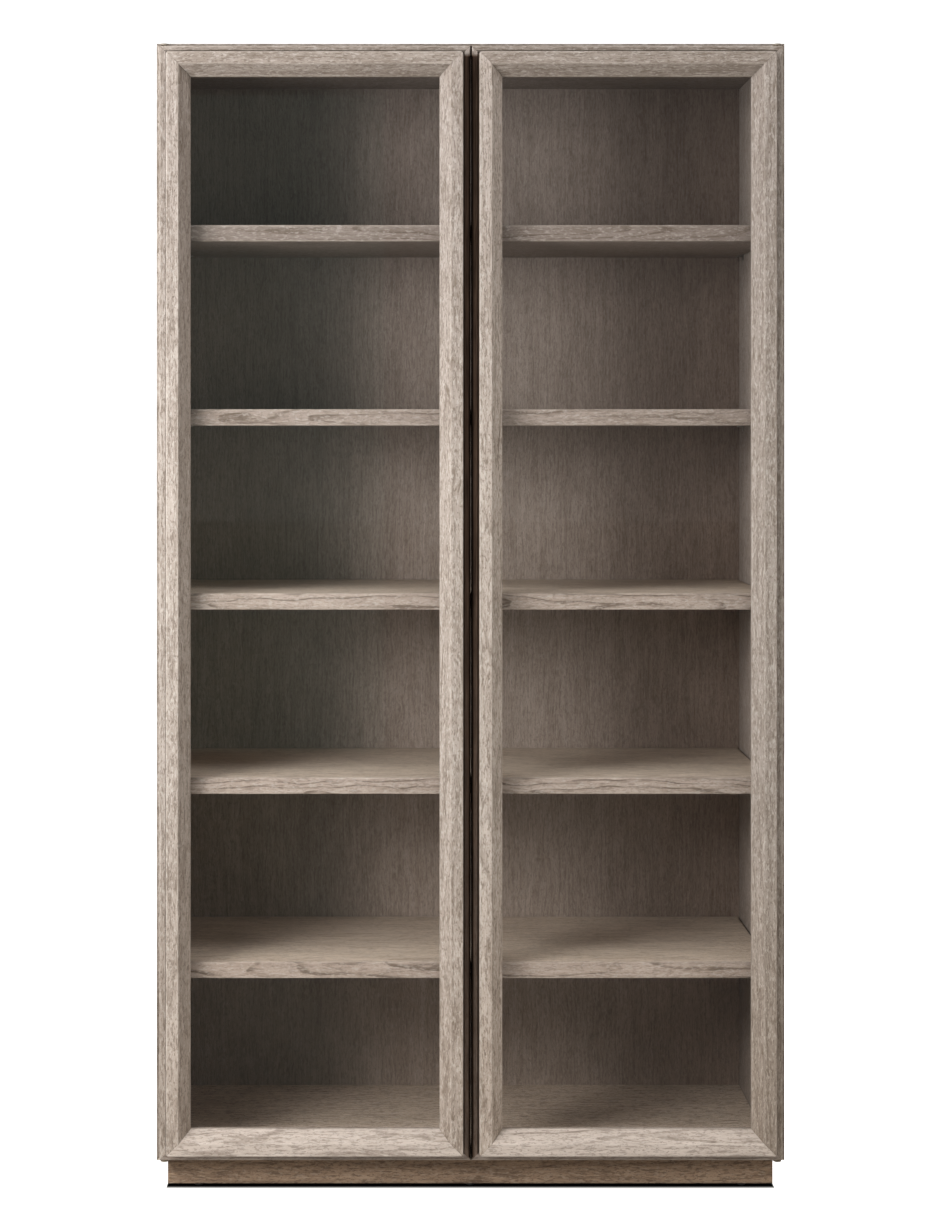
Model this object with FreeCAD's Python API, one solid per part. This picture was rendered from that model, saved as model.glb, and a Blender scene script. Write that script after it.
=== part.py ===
import FreeCAD, Part
import os

# Tall glazed bookcase: a mitred oak carcass on a recessed plinth, full-width
# adjustable shelves, and two glazed doors that swing on concealed pivots.
#
# Millimetres. The origin is the centre of the footprint at floor level, +Z is
# up and the doors face -Y. Handed pieces are built for the right-hand side and
# mirrored to the left; pieces at the top edge are mirrored to the bottom edge.

Vector = FreeCAD.Vector
X_AXIS = Vector(1, 0, 0)
Y_AXIS = Vector(0, 1, 0)
Z_AXIS = Vector(0, 0, 1)
ORIGIN = Vector(0, 0, 0)

# How far the middle of a quarter round lies from both of its tangent edges,
# as a share of its radius
ARC_MIDDLE = 1 - 0.5 ** 0.5

# ---------------------------------------------------------------------------
# Driving dimensions
# ---------------------------------------------------------------------------

# Outside of the whole bookcase
overall_width = 1219.0
overall_depth = 457.0
overall_height = 2225.0

# Carcass panels
panel_thickness = 25.0
back_thickness = 9.0
back_recess = 14.0
groove_depth = 8.0
groove_end_clearance = 1.0
rear_rail_height = 90.0
mitre_spline_thickness = 6.0
mitre_spline_width = 14.0
mitre_spline_end_cover = 18.0

# Wall fixing holes in the upper rear rail
wall_hole_radius = 2.75
wall_hole_spacing = 812.8

# Plinth and glides
plinth_height = 52.0
plinth_inset = 19.5
plinth_board_thickness = 20.0
corner_block_leg = 46.0
corner_block_height = 40.0
glide_height = 5.0
glide_radius = 9.0
glide_foot_radius = 7.5
glide_rim_height = 3.0
glide_nail_radius = 1.2
glide_nail_length = 16.0
glide_corner_distance = 60.0

# Shelves and their pins
shelf_count = 5
shelf_thickness = 32.0
shelf_front_setback = 8.0
shelf_end_clearance = 3.0
shelf_back_clearance = 1.0
pin_row_inset = 50.0
pin_hole_pitch = 32.0
pin_holes_each_way = 1
pin_plug_radius = 2.5
pin_plug_length = 8.0
pin_hole_clearance = 0.05
pin_hole_depth = 10.0
pin_tab_width = 10.0
pin_tab_reach = 12.0
pin_tab_thickness = 2.0
pin_plate_height = 12.0
pin_plate_thickness = 1.5

# Door frame section, from the outer edge inwards and from the face backwards
door_thickness = 45.0
door_gap = 2.0
door_reveal = 7.5
meeting_gap = 1.0
flange_width = 15.0
flange_step = 25.0
raised_width = 24.0
bevel_width = 21.0
bevel_depth = 25.0
lip_thickness = 6.0
rabbet_width = 10.0
back_edge_radius = 6.0
front_edge_radius = 2.0
corner_spline_length = 26.0
corner_spline_width = 16.0
corner_spline_thickness = 4.0
corner_spline_depth = 26.5

# Glazing
glass_thickness = 5.0
glass_edge_clearance = 2.0
bead_width = 9.0
bead_chamfer = 3.0
setting_block_length = 40.0

# Pivot hinges
pivot_edge_offset = 9.0
pivot_back_offset = 10.0
pivot_pin_radius = 3.0
pivot_pin_engagement = 13.0
pivot_pin_chamfer = 0.6
pivot_running_clearance = 0.05
bush_wall = 1.5
bush_depth = 16.0
bush_flange_radius = 7.0
bush_top_float = 0.3
bracket_gap = 1.5
bracket_thickness = 3.0
bracket_width = 16.0
bracket_leg_height = 62.0
bracket_screw_pitch = 22.0
bracket_screw_end_distance = 12.0

# Magnetic catches, strike plates and bumpers
catch_centre_x = 32.0
catch_width = 44.0
catch_depth = 16.0
catch_height = 13.0
catch_screw_spacing = 35.0
magnet_width = 24.0
magnet_depth = 11.0
magnet_height = 7.0
strike_thickness = 1.2
strike_width = 36.0
strike_height = 11.0
strike_screw_spacing = 26.0
bumper_radius = 4.0
bumper_centre_x = 34.0

# Countersunk wood screws
screw_head_radius = 3.6
screw_head_height = 2.2
screw_shank_radius = 1.8
screw_tip_length = 4.0
bracket_screw_length = 28.0
catch_screw_length = 24.0
strike_screw_length = 12.0
plinth_screw_length = 52.0

# ---------------------------------------------------------------------------
# Planes and positions that follow from them
# ---------------------------------------------------------------------------

half_width = overall_width / 2
face_y = -overall_depth / 2
rear_y = overall_depth / 2
door_back_y = face_y + door_thickness
front_y = door_back_y + door_gap

carcass_bottom_z = glide_height + plinth_height
carcass_top_z = overall_height
middle_z = (carcass_bottom_z + carcass_top_z) / 2
inner_x = half_width - panel_thickness
inner_bottom_z = carcass_bottom_z + panel_thickness
inner_top_z = carcass_top_z - panel_thickness
back_rear_y = rear_y - back_recess
back_front_y = back_rear_y - back_thickness

plinth_x = half_width - plinth_inset
plinth_front_y = front_y + plinth_inset
plinth_rear_y = rear_y - plinth_inset

shelf_x = inner_x - shelf_end_clearance
shelf_front_y = front_y + shelf_front_setback
shelf_back_y = back_front_y - shelf_back_clearance
interior_height = inner_top_z - inner_bottom_z
compartment_height = (interior_height - shelf_count * shelf_thickness) / (shelf_count + 1)
shelf_pitch = compartment_height + shelf_thickness
pin_rows_y = (front_y + pin_row_inset, back_front_y - pin_row_inset)
pin_drop = pin_plate_height / 2 + pin_tab_thickness / 2

frame_width = flange_width + raised_width + bevel_width
glass_front = bevel_depth + lip_thickness
glass_back = glass_front + glass_thickness
rabbet_start = frame_width - rabbet_width
door_outer_x = half_width - door_reveal
door_meeting_x = meeting_gap / 2
door_top_z = carcass_top_z - door_reveal
door_bottom_z = carcass_bottom_z + door_reveal

pivot_x = door_outer_x - pivot_edge_offset
pivot_y = door_back_y - pivot_back_offset
bracket_under_z = door_top_z + bracket_gap
bracket_over_z = bracket_under_z + bracket_thickness
bush_bore_radius = pivot_pin_radius + pivot_running_clearance
bush_outer_radius = bush_bore_radius + bush_wall

magnet_proud = door_gap - strike_thickness
strike_centre_z = inner_top_z - catch_height / 2


# ---------------------------------------------------------------------------
# Building blocks
# ---------------------------------------------------------------------------

def block(x0, x1, y0, y1, z0, z1):
    """Rectangular block between two corners."""
    return Part.makeBox(x1 - x0, y1 - y0, z1 - z0, Vector(x0, y0, z0))


def prism(points, along):
    """Closed outline of points, extruded by the vector along."""
    outline = Part.makePolygon(points + points[:1])
    return Part.Face(outline).extrude(along)


def mitred_board(outer_start, outer_end, inner_end, inner_start, low, high, along):
    """Board with mitred ends: its four corners across a plane, from low to high."""
    corners = [point + along * low for point in (outer_start, outer_end, inner_end, inner_start)]
    return prism(corners, along * (high - low))


def rod(radius, start, end):
    """Round rod between two points."""
    axis = end - start
    return Part.makeCylinder(radius, axis.Length, start, axis)


def turned(profile, place, direction):
    """Solid of revolution. The profile holds (radius, distance along direction)."""
    points = [Vector(radius, 0, distance) for radius, distance in profile]
    outline = Part.makePolygon(points + points[:1])
    solid = Part.Face(outline).revolve(ORIGIN, Z_AXIS, 360)
    solid.Placement = FreeCAD.Placement(place, FreeCAD.Rotation(Z_AXIS, direction))
    return solid


def diagonal_block(centre_x, centre_z, length, width, y0, y1):
    """Block turned 45 degrees about Y, its length pointing up towards +X."""
    piece = block(-length / 2, length / 2, y0, y1, -width / 2, width / 2)
    piece.rotate(ORIGIN, Y_AXIS, -45)
    piece.translate(Vector(centre_x, 0, centre_z))
    return piece


def to_left(shape):
    """Mirror image of a right-hand piece."""
    return shape.mirror(ORIGIN, X_AXIS)


def to_bottom(shape):
    """Mirror image, about the middle of the carcass, of a piece at the top."""
    return shape.mirror(Vector(0, 0, middle_z), Z_AXIS)


def both_sides(shapes):
    """Right-hand pieces with their left-hand mirror images."""
    return shapes + [to_left(shape) for shape in shapes]


def top_and_bottom(shapes):
    """Pieces at the top edge with their mirror images at the bottom edge."""
    return shapes + [to_bottom(shape) for shape in shapes]


def wood_screw(head, direction, length):
    """Countersunk screw with its head flush at head, driven along direction."""
    profile = [
        (0, 0),
        (screw_head_radius, 0),
        (screw_shank_radius, screw_head_height),
        (screw_shank_radius, length - screw_tip_length),
        (0, length),
    ]
    return turned(profile, head, direction)


# ---------------------------------------------------------------------------
# Pivot hinges: bracket and pin on the carcass, flanged bush in the door
# ---------------------------------------------------------------------------

def bracket_leg():
    """Leg of the upper bracket, let into the front edge of the carcass."""
    return block(
        pivot_x - bracket_width / 2, pivot_x + bracket_width / 2,
        front_y, front_y + bracket_thickness,
        bracket_over_z - bracket_leg_height, bracket_over_z,
    )


def bracket_screws():
    """The two screws of the upper bracket's leg."""
    lowest_z = bracket_over_z - bracket_leg_height + bracket_screw_end_distance
    return [
        wood_screw(Vector(pivot_x, front_y, lowest_z + step * bracket_screw_pitch),
                   Y_AXIS, bracket_screw_length)
        for step in range(2)
    ]


def pivot_pin():
    """Pin riveted into the upper bracket, pointing down into the door."""
    length = bracket_over_z - door_top_z + pivot_pin_engagement
    profile = [
        (0, 0),
        (pivot_pin_radius, 0),
        (pivot_pin_radius, length - pivot_pin_chamfer),
        (pivot_pin_radius - pivot_pin_chamfer, length),
        (0, length),
    ]
    return turned(profile, Vector(pivot_x, pivot_y, bracket_over_z), -Z_AXIS)


def pivot_bracket():
    """Angle bracket: a leg on the carcass and an arm that reaches over the door."""
    arm = block(
        pivot_x - bracket_width / 2, pivot_x + bracket_width / 2,
        pivot_y, front_y + bracket_thickness,
        bracket_under_z, bracket_over_z,
    )
    nose = rod(bracket_width / 2,
               Vector(pivot_x, pivot_y, bracket_under_z),
               Vector(pivot_x, pivot_y, bracket_over_z))
    plate = bracket_leg().fuse([arm, nose]).removeSplitter()
    return plate.cut([pivot_pin()] + bracket_screws())


def bush(flange_thickness):
    """Flanged bush let into the door's top edge."""
    profile = [
        (bush_bore_radius, -flange_thickness),
        (bush_flange_radius, -flange_thickness),
        (bush_flange_radius, 0),
        (bush_outer_radius, 0),
        (bush_outer_radius, bush_depth),
        (bush_bore_radius, bush_depth),
    ]
    return turned(profile, Vector(pivot_x, pivot_y, door_top_z), -Z_AXIS)


def bush_hole():
    """Hole for the upper bush."""
    return rod(bush_outer_radius,
               Vector(pivot_x, pivot_y, door_top_z),
               Vector(pivot_x, pivot_y, door_top_z - bush_depth))


# ---------------------------------------------------------------------------
# Magnetic catches: housing and magnet on the carcass, strike plate on the door
# ---------------------------------------------------------------------------

def catch_screws():
    """The two screws that hold the upper catch to the top panel."""
    mid_y = front_y + catch_depth / 2
    return [
        wood_screw(Vector(catch_centre_x + side * catch_screw_spacing / 2, mid_y,
                          inner_top_z - catch_height),
                   Z_AXIS, catch_screw_length)
        for side in (-1, 1)
    ]


def magnet():
    """Magnet of the upper catch. It stands proud to meet the strike plate."""
    return block(
        catch_centre_x - magnet_width / 2, catch_centre_x + magnet_width / 2,
        front_y - magnet_proud, front_y + magnet_depth,
        strike_centre_z - magnet_height / 2, strike_centre_z + magnet_height / 2,
    )


def catch_housing():
    """Housing of the upper catch, under the top panel."""
    body = block(
        catch_centre_x - catch_width / 2, catch_centre_x + catch_width / 2,
        front_y, front_y + catch_depth,
        inner_top_z - catch_height, inner_top_z,
    )
    return body.cut([magnet()] + catch_screws())


def strike_screws():
    """The two screws of the upper strike plate."""
    return [
        wood_screw(Vector(catch_centre_x + side * strike_screw_spacing / 2,
                          door_back_y + strike_thickness, strike_centre_z),
                   -Y_AXIS, strike_screw_length)
        for side in (-1, 1)
    ]


def strike_plate():
    """Strike plate on the back of the door, opposite the magnet."""
    plate = block(
        catch_centre_x - strike_width / 2, catch_centre_x + strike_width / 2,
        door_back_y, door_back_y + strike_thickness,
        strike_centre_z - strike_height / 2, strike_centre_z + strike_height / 2,
    )
    return plate.cut(strike_screws())


def bumper():
    """Soft button between the door's back and the carcass's front edge."""
    centre_z = (inner_top_z + door_top_z) / 2
    return rod(bumper_radius,
               Vector(bumper_centre_x, door_back_y, centre_z),
               Vector(bumper_centre_x, front_y, centre_z))


# ---------------------------------------------------------------------------
# Carcass
# ---------------------------------------------------------------------------

def mitre_spline():
    """Spline that keys the upper right mitre, stopped short of both edges."""
    centre = panel_thickness / 2
    return diagonal_block(
        half_width - centre, carcass_top_z - centre,
        mitre_spline_thickness, mitre_spline_width,
        front_y + mitre_spline_end_cover, back_front_y - mitre_spline_end_cover,
    )


def back_groove():
    """Room taken by the back panel and its grooves."""
    reach_x = inner_x + groove_depth
    return block(-reach_x, reach_x, back_front_y, back_rear_y,
                 inner_bottom_z - groove_depth, inner_top_z + groove_depth)


def back_panel():
    """Thin sheet held in the grooves."""
    reach = groove_depth - groove_end_clearance
    reach_x = inner_x + reach
    return block(-reach_x, reach_x, back_front_y, back_rear_y,
                 inner_bottom_z - reach, inner_top_z + reach)


def shelf_underside(number):
    """Height of the underside of a shelf, counted from the bottom."""
    return inner_bottom_z + number * shelf_pitch - shelf_thickness


def shelf(number):
    """One full-width shelf."""
    underside = shelf_underside(number)
    return block(-shelf_x, shelf_x, shelf_front_y, shelf_back_y,
                 underside, underside + shelf_thickness)


def shelf_pin(row_y, underside):
    """Spade pin: a plug in the side panel, a plate and a tab under the shelf."""
    axis_z = underside - pin_drop
    plug = rod(pin_plug_radius,
               Vector(inner_x - pin_plate_thickness, row_y, axis_z),
               Vector(inner_x + pin_plug_length, row_y, axis_z))
    plate = block(inner_x - pin_plate_thickness, inner_x,
                  row_y - pin_tab_width / 2, row_y + pin_tab_width / 2,
                  underside - pin_plate_height, underside)
    tab = block(inner_x - pin_tab_reach, inner_x,
                row_y - pin_tab_width / 2, row_y + pin_tab_width / 2,
                underside - pin_tab_thickness, underside)
    return plate.fuse([tab, plug]).removeSplitter()


def pin_holes():
    """Rows of shelf pin holes in the right side panel."""
    holes = []
    for number in range(1, shelf_count + 1):
        axis_z = shelf_underside(number) - pin_drop
        for row_y in pin_rows_y:
            for step in range(-pin_holes_each_way, pin_holes_each_way + 1):
                mouth = Vector(inner_x, row_y, axis_z + step * pin_hole_pitch)
                holes.append(rod(pin_plug_radius + pin_hole_clearance,
                                 mouth, mouth + X_AXIS * pin_hole_depth))
    return holes


def side_panel():
    """Right side panel, mitred at both ends."""
    board = mitred_board(
        Vector(half_width, 0, carcass_bottom_z), Vector(half_width, 0, carcass_top_z),
        Vector(inner_x, 0, inner_top_z), Vector(inner_x, 0, inner_bottom_z),
        front_y, rear_y, Y_AXIS,
    )
    joinery = top_and_bottom([mitre_spline(), bracket_leg()] + bracket_screws())
    return board.cut([back_groove()] + joinery + pin_holes())


def top_panel():
    """Top panel, mitred to the sides."""
    board = mitred_board(
        Vector(-half_width, 0, carcass_top_z), Vector(half_width, 0, carcass_top_z),
        Vector(inner_x, 0, inner_top_z), Vector(-inner_x, 0, inner_top_z),
        front_y, rear_y, Y_AXIS,
    )
    joinery = both_sides([mitre_spline(), bracket_leg()] + catch_screws())
    return board.cut([back_groove()] + joinery)


def rear_rail():
    """Rail behind the back panel, under the top panel."""
    return block(-inner_x, inner_x, back_rear_y, rear_y,
                 inner_top_z - rear_rail_height, inner_top_z)


def wall_holes():
    """Screw holes for the wall fixing, through the upper rear rail."""
    hole_z = inner_top_z - rear_rail_height / 2
    return [
        rod(wall_hole_radius,
            Vector(side * wall_hole_spacing / 2, back_rear_y, hole_z),
            Vector(side * wall_hole_spacing / 2, rear_y, hole_z))
        for side in (-1, 1)
    ]


# ---------------------------------------------------------------------------
# Plinth
# ---------------------------------------------------------------------------

def floor_glides():
    """Nail-on glides under the front and back boards of the plinth."""
    profile = [
        (0, -glide_height),
        (glide_foot_radius, -glide_height),
        (glide_radius, -glide_rim_height),
        (glide_radius, 0),
        (glide_nail_radius, 0),
        (glide_nail_radius, glide_nail_length),
        (0, glide_nail_length),
    ]
    end_x = plinth_x - glide_corner_distance
    board_middle = plinth_board_thickness / 2
    return [
        turned(profile, Vector(x, y, glide_height), Z_AXIS)
        for y in (plinth_front_y + board_middle, plinth_rear_y - board_middle)
        for x in (-end_x, 0, end_x)
    ]


def plinth_boards():
    """Front, back and right side boards, mitred at the corners."""
    inside_x = plinth_x - plinth_board_thickness
    inside_front_y = plinth_front_y + plinth_board_thickness
    inside_rear_y = plinth_rear_y - plinth_board_thickness
    front = mitred_board(
        Vector(-plinth_x, plinth_front_y, 0), Vector(plinth_x, plinth_front_y, 0),
        Vector(inside_x, inside_front_y, 0), Vector(-inside_x, inside_front_y, 0),
        glide_height, carcass_bottom_z, Z_AXIS,
    )
    back = mitred_board(
        Vector(plinth_x, plinth_rear_y, 0), Vector(-plinth_x, plinth_rear_y, 0),
        Vector(-inside_x, inside_rear_y, 0), Vector(inside_x, inside_rear_y, 0),
        glide_height, carcass_bottom_z, Z_AXIS,
    )
    side = mitred_board(
        Vector(plinth_x, plinth_front_y, 0), Vector(plinth_x, plinth_rear_y, 0),
        Vector(inside_x, inside_rear_y, 0), Vector(inside_x, inside_front_y, 0),
        glide_height, carcass_bottom_z, Z_AXIS,
    )
    glides = floor_glides()
    return front.cut(glides), back.cut(glides), side


def corner_block_screws():
    """Screws up through the right-hand corner blocks into the bottom panel."""
    offset = plinth_board_thickness + corner_block_leg / 3
    head_z = carcass_bottom_z - corner_block_height
    return [
        wood_screw(Vector(plinth_x - offset, y, head_z), Z_AXIS, plinth_screw_length)
        for y in (plinth_front_y + offset, plinth_rear_y - offset)
    ]


def corner_blocks():
    """Three-cornered blocks in the right-hand corners of the plinth."""
    inside_x = plinth_x - plinth_board_thickness
    low_z = carcass_bottom_z - corner_block_height
    blocks = []
    for corner_y, inward in ((plinth_front_y + plinth_board_thickness, 1),
                             (plinth_rear_y - plinth_board_thickness, -1)):
        corners = [
            Vector(inside_x, corner_y, low_z),
            Vector(inside_x - corner_block_leg, corner_y, low_z),
            Vector(inside_x, corner_y + inward * corner_block_leg, low_z),
        ]
        solid = prism(corners, Z_AXIS * corner_block_height)
        blocks.append(solid.cut(corner_block_screws()))
    return blocks


def plinth_cross_rail():
    """Rail from front to back under the middle of the bottom panel."""
    return block(
        -plinth_board_thickness / 2, plinth_board_thickness / 2,
        plinth_front_y + plinth_board_thickness, plinth_rear_y - plinth_board_thickness,
        glide_height, carcass_bottom_z,
    )


# ---------------------------------------------------------------------------
# Doors
# ---------------------------------------------------------------------------

def frame_section(edge, inwards):
    """Section of the door frame as a face.

    edge is a point on the outer edge in the plane of the door's face, and
    inwards is the unit vector from that edge across the frame.
    """
    def at(across, depth):
        return edge + inwards * across + Y_AXIS * depth

    raised_end = flange_width + raised_width
    back_middle = back_edge_radius * ARC_MIDDLE
    front_middle = front_edge_radius * ARC_MIDDLE
    flange_round = Part.Arc(
        at(0, flange_step + front_edge_radius),
        at(front_middle, flange_step + front_middle),
        at(front_edge_radius, flange_step),
    )
    raised_round = Part.Arc(
        at(flange_width, front_edge_radius),
        at(flange_width + front_middle, front_middle),
        at(flange_width + front_edge_radius, 0),
    )
    back_round = Part.Arc(
        at(back_edge_radius, door_thickness),
        at(back_middle, door_thickness - back_middle),
        at(0, door_thickness - back_edge_radius),
    )
    corners = [
        at(flange_width + front_edge_radius, 0),
        at(raised_end, 0),
        at(frame_width, bevel_depth),
        at(frame_width, glass_front),
        at(rabbet_start, glass_front),
        at(rabbet_start, door_thickness),
        at(back_edge_radius, door_thickness),
    ]
    edges = [Part.makeLine(start, end) for start, end in zip(corners, corners[1:])]
    edges.append(back_round.toShape())
    edges.append(Part.makeLine(at(0, door_thickness - back_edge_radius),
                               at(0, flange_step + front_edge_radius)))
    edges.append(flange_round.toShape())
    edges.append(Part.makeLine(at(front_edge_radius, flange_step), at(flange_width, flange_step)))
    edges.append(Part.makeLine(at(flange_width, flange_step), at(flange_width, front_edge_radius)))
    edges.append(raised_round.toShape())
    return Part.Face(Part.Wire(edges))


def bead_section(edge, inwards):
    """Section of a glazing bead, set in the rabbet behind the glass."""
    bead_edge = rabbet_start + bead_width
    points = [
        edge + inwards * across + Y_AXIS * depth
        for across, depth in (
            (rabbet_start, glass_back),
            (bead_edge, glass_back),
            (bead_edge, door_thickness - bead_chamfer),
            (bead_edge - bead_chamfer, door_thickness),
            (rabbet_start, door_thickness),
        )
    ]
    return Part.Face(Part.makePolygon(points + points[:1]))


def mitre_zone(side, reach):
    """Prism that holds all of the door nearer to one edge than to the others."""
    corners = {
        "meeting_low": Vector(door_meeting_x, 0, door_bottom_z),
        "meeting_high": Vector(door_meeting_x, 0, door_top_z),
        "outer_high": Vector(door_outer_x, 0, door_top_z),
        "outer_low": Vector(door_outer_x, 0, door_bottom_z),
    }
    towards_centre = {
        "meeting_low": Vector(reach, 0, reach),
        "meeting_high": Vector(reach, 0, -reach),
        "outer_high": Vector(-reach, 0, -reach),
        "outer_low": Vector(-reach, 0, reach),
    }
    start, end = {
        "hinge": ("outer_high", "outer_low"),
        "meeting": ("meeting_low", "meeting_high"),
        "top": ("meeting_high", "outer_high"),
        "bottom": ("outer_low", "meeting_low"),
    }[side]
    return mitred_board(
        corners[start], corners[end],
        corners[end] + towards_centre[end], corners[start] + towards_centre[start],
        face_y, door_back_y, Y_AXIS,
    )


def frame_member(section, side):
    """Length of a section along one side of the right door, mitred at its ends."""
    low = Vector(door_meeting_x, face_y, door_bottom_z)
    high = Vector(door_outer_x, face_y, door_top_z)
    height = Z_AXIS * (door_top_z - door_bottom_z)
    width = X_AXIS * (door_outer_x - door_meeting_x)
    edge, inwards, along = {
        "hinge": (high, -X_AXIS, -height),
        "meeting": (low, X_AXIS, height),
        "top": (high, -Z_AXIS, -width),
        "bottom": (low, Z_AXIS, width),
    }[side]
    length = section(edge, inwards).extrude(along)
    return length.common(mitre_zone(side, frame_width))


def corner_splines():
    """Keys in the four mitres of the right door."""
    low_y = face_y + corner_spline_depth
    high_y = low_y + corner_spline_thickness
    centre = frame_width / 2
    upper = [
        diagonal_block(door_outer_x - centre, door_top_z - centre,
                       corner_spline_length, corner_spline_width, low_y, high_y),
        diagonal_block(door_meeting_x + centre, door_top_z - centre,
                       corner_spline_width, corner_spline_length, low_y, high_y),
    ]
    return top_and_bottom(upper)


def glass_pane():
    """Pane of the right door."""
    edge = rabbet_start + glass_edge_clearance
    return block(
        door_meeting_x + edge, door_outer_x - edge,
        face_y + glass_front, face_y + glass_back,
        door_bottom_z + edge, door_top_z - edge,
    )


def setting_blocks():
    """Soft blocks that the pane stands on, at its quarter points."""
    width = door_outer_x - door_meeting_x
    rabbet_z = door_bottom_z + rabbet_start
    return [
        block(
            centre - setting_block_length / 2, centre + setting_block_length / 2,
            face_y + glass_front, face_y + glass_back,
            rabbet_z, rabbet_z + glass_edge_clearance,
        )
        for centre in (door_meeting_x + width / 4, door_outer_x - width / 4)
    ]


def right_door():
    """All pieces of the right door, by name."""
    splines = corner_splines()
    screws = top_and_bottom(strike_screws())
    joinery = splines + screws + top_and_bottom([bush_hole()])
    bushes = [bush(bracket_gap - bush_top_float), to_bottom(bush(bracket_gap))]
    pieces = {}
    for side, name in (("hinge", "hinge_stile"), ("meeting", "meeting_stile"),
                       ("top", "top_rail"), ("bottom", "bottom_rail")):
        pieces[name] = frame_member(frame_section, side).cut(joinery)
    for side, name in (("hinge", "bead_hinge_side"), ("meeting", "bead_meeting_side"),
                       ("top", "bead_top"), ("bottom", "bead_bottom")):
        pieces[name] = frame_member(bead_section, side)
    pieces["corner_splines"] = Part.makeCompound(splines)
    pieces["glass"] = glass_pane()
    pieces["setting_blocks"] = Part.makeCompound(setting_blocks())
    pieces["pivot_bushes"] = Part.makeCompound(bushes)
    pieces["strike_plates"] = Part.makeCompound(top_and_bottom([strike_plate()]))
    pieces["screws"] = Part.makeCompound(screws)
    pieces["bumpers"] = Part.makeCompound(top_and_bottom([bumper()]))
    return pieces


# ---------------------------------------------------------------------------
# Assembly
# ---------------------------------------------------------------------------

def carcass_nodes():
    """Panels, rails, splines and shelves."""
    right_side = side_panel()
    upper = top_panel()
    lower = to_bottom(upper).cut(both_sides(corner_block_screws()))
    pins = [
        shelf_pin(row_y, shelf_underside(number))
        for number in range(1, shelf_count + 1)
        for row_y in pin_rows_y
    ]
    nodes = {
        "side_panel_right": right_side,
        "side_panel_left": to_left(right_side),
        "top_panel": upper,
        "bottom_panel": lower,
        "back_panel": back_panel(),
        "rear_top_rail": rear_rail().cut(wall_holes()),
        "rear_bottom_rail": to_bottom(rear_rail()),
        "carcass_mitre_splines": Part.makeCompound(top_and_bottom(both_sides([mitre_spline()]))),
        "shelf_pins": Part.makeCompound(both_sides(pins)),
    }
    for number in range(1, shelf_count + 1):
        nodes["shelf_%d" % number] = shelf(number)
    return nodes


def plinth_nodes():
    """Boards, blocks, screws and glides under the carcass."""
    front, back, side = plinth_boards()
    return {
        "plinth_front": front,
        "plinth_back": back,
        "plinth_side_right": side,
        "plinth_side_left": to_left(side),
        "plinth_cross_rail": plinth_cross_rail(),
        "plinth_corner_blocks": Part.makeCompound(both_sides(corner_blocks())),
        "plinth_screws": Part.makeCompound(both_sides(corner_block_screws())),
        "floor_glides": Part.makeCompound(floor_glides()),
    }


def hardware_nodes():
    """Hinge and catch hardware that stays on the carcass."""
    brackets = both_sides([pivot_bracket()])
    return {
        "top_pivot_brackets": Part.makeCompound(brackets),
        "bottom_pivot_brackets": Part.makeCompound([to_bottom(piece) for piece in brackets]),
        "pivot_pins": Part.makeCompound(top_and_bottom(both_sides([pivot_pin()]))),
        "pivot_bracket_screws": Part.makeCompound(top_and_bottom(both_sides(bracket_screws()))),
        "catch_housings": Part.makeCompound(top_and_bottom(both_sides([catch_housing()]))),
        "catch_magnets": Part.makeCompound(top_and_bottom(both_sides([magnet()]))),
        "catch_screws": Part.makeCompound(top_and_bottom(both_sides(catch_screws()))),
    }


def door_nodes():
    """Both doors, the left one as the mirror image of the right one."""
    nodes = {}
    for name, shape in right_door().items():
        nodes["right_door_" + name] = shape
        nodes["left_door_" + name] = to_left(shape)
    return nodes


def write_parts():
    """Write one STEP file for each named piece."""
    os.makedirs("parts", exist_ok=True)
    nodes = {}
    for group in (carcass_nodes(), plinth_nodes(), hardware_nodes(), door_nodes()):
        nodes.update(group)
    for name, shape in nodes.items():
        shape.exportStep(os.path.join("parts", name + ".step"))
        print(name, len(shape.Solids), round(shape.Volume / 1000.0, 1), "cm3")


write_parts()
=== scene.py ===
"""Limed oak bookcase with two glazed doors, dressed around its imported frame.

Lengths are in metres, the doors face -Y and the floor is at Z = 0. The boards
and mouldings that show are modelled again with eased arrises and worn corners;
hardware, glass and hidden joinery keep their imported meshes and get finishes.
"""

import logging
import math
from contextlib import contextmanager
from dataclasses import dataclass, field, replace
from enum import Enum
from typing import Callable, Iterator, Sequence

import bmesh
import bpy
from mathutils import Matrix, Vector


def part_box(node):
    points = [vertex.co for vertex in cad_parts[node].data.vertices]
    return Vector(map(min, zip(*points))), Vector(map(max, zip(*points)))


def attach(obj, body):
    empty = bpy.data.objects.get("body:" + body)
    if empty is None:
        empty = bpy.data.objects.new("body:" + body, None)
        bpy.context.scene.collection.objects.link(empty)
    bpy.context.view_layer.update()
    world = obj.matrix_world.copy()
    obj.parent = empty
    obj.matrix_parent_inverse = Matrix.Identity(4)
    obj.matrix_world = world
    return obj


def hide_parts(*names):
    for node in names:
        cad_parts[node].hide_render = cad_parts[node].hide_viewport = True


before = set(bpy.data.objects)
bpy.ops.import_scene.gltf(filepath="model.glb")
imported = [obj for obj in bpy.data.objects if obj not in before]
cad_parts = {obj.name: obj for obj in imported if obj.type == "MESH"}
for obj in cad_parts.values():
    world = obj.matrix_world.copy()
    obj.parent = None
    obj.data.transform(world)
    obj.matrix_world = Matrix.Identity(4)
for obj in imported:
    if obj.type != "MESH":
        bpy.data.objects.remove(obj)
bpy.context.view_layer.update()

LOG = logging.getLogger("bookcase")
MM = 0.001
# A point nearer to a cutting plane than this lies in it
IN_PLANE = 0.05 * MM

Point = tuple[float, float, float]
Colour = tuple[float, float, float]


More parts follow.
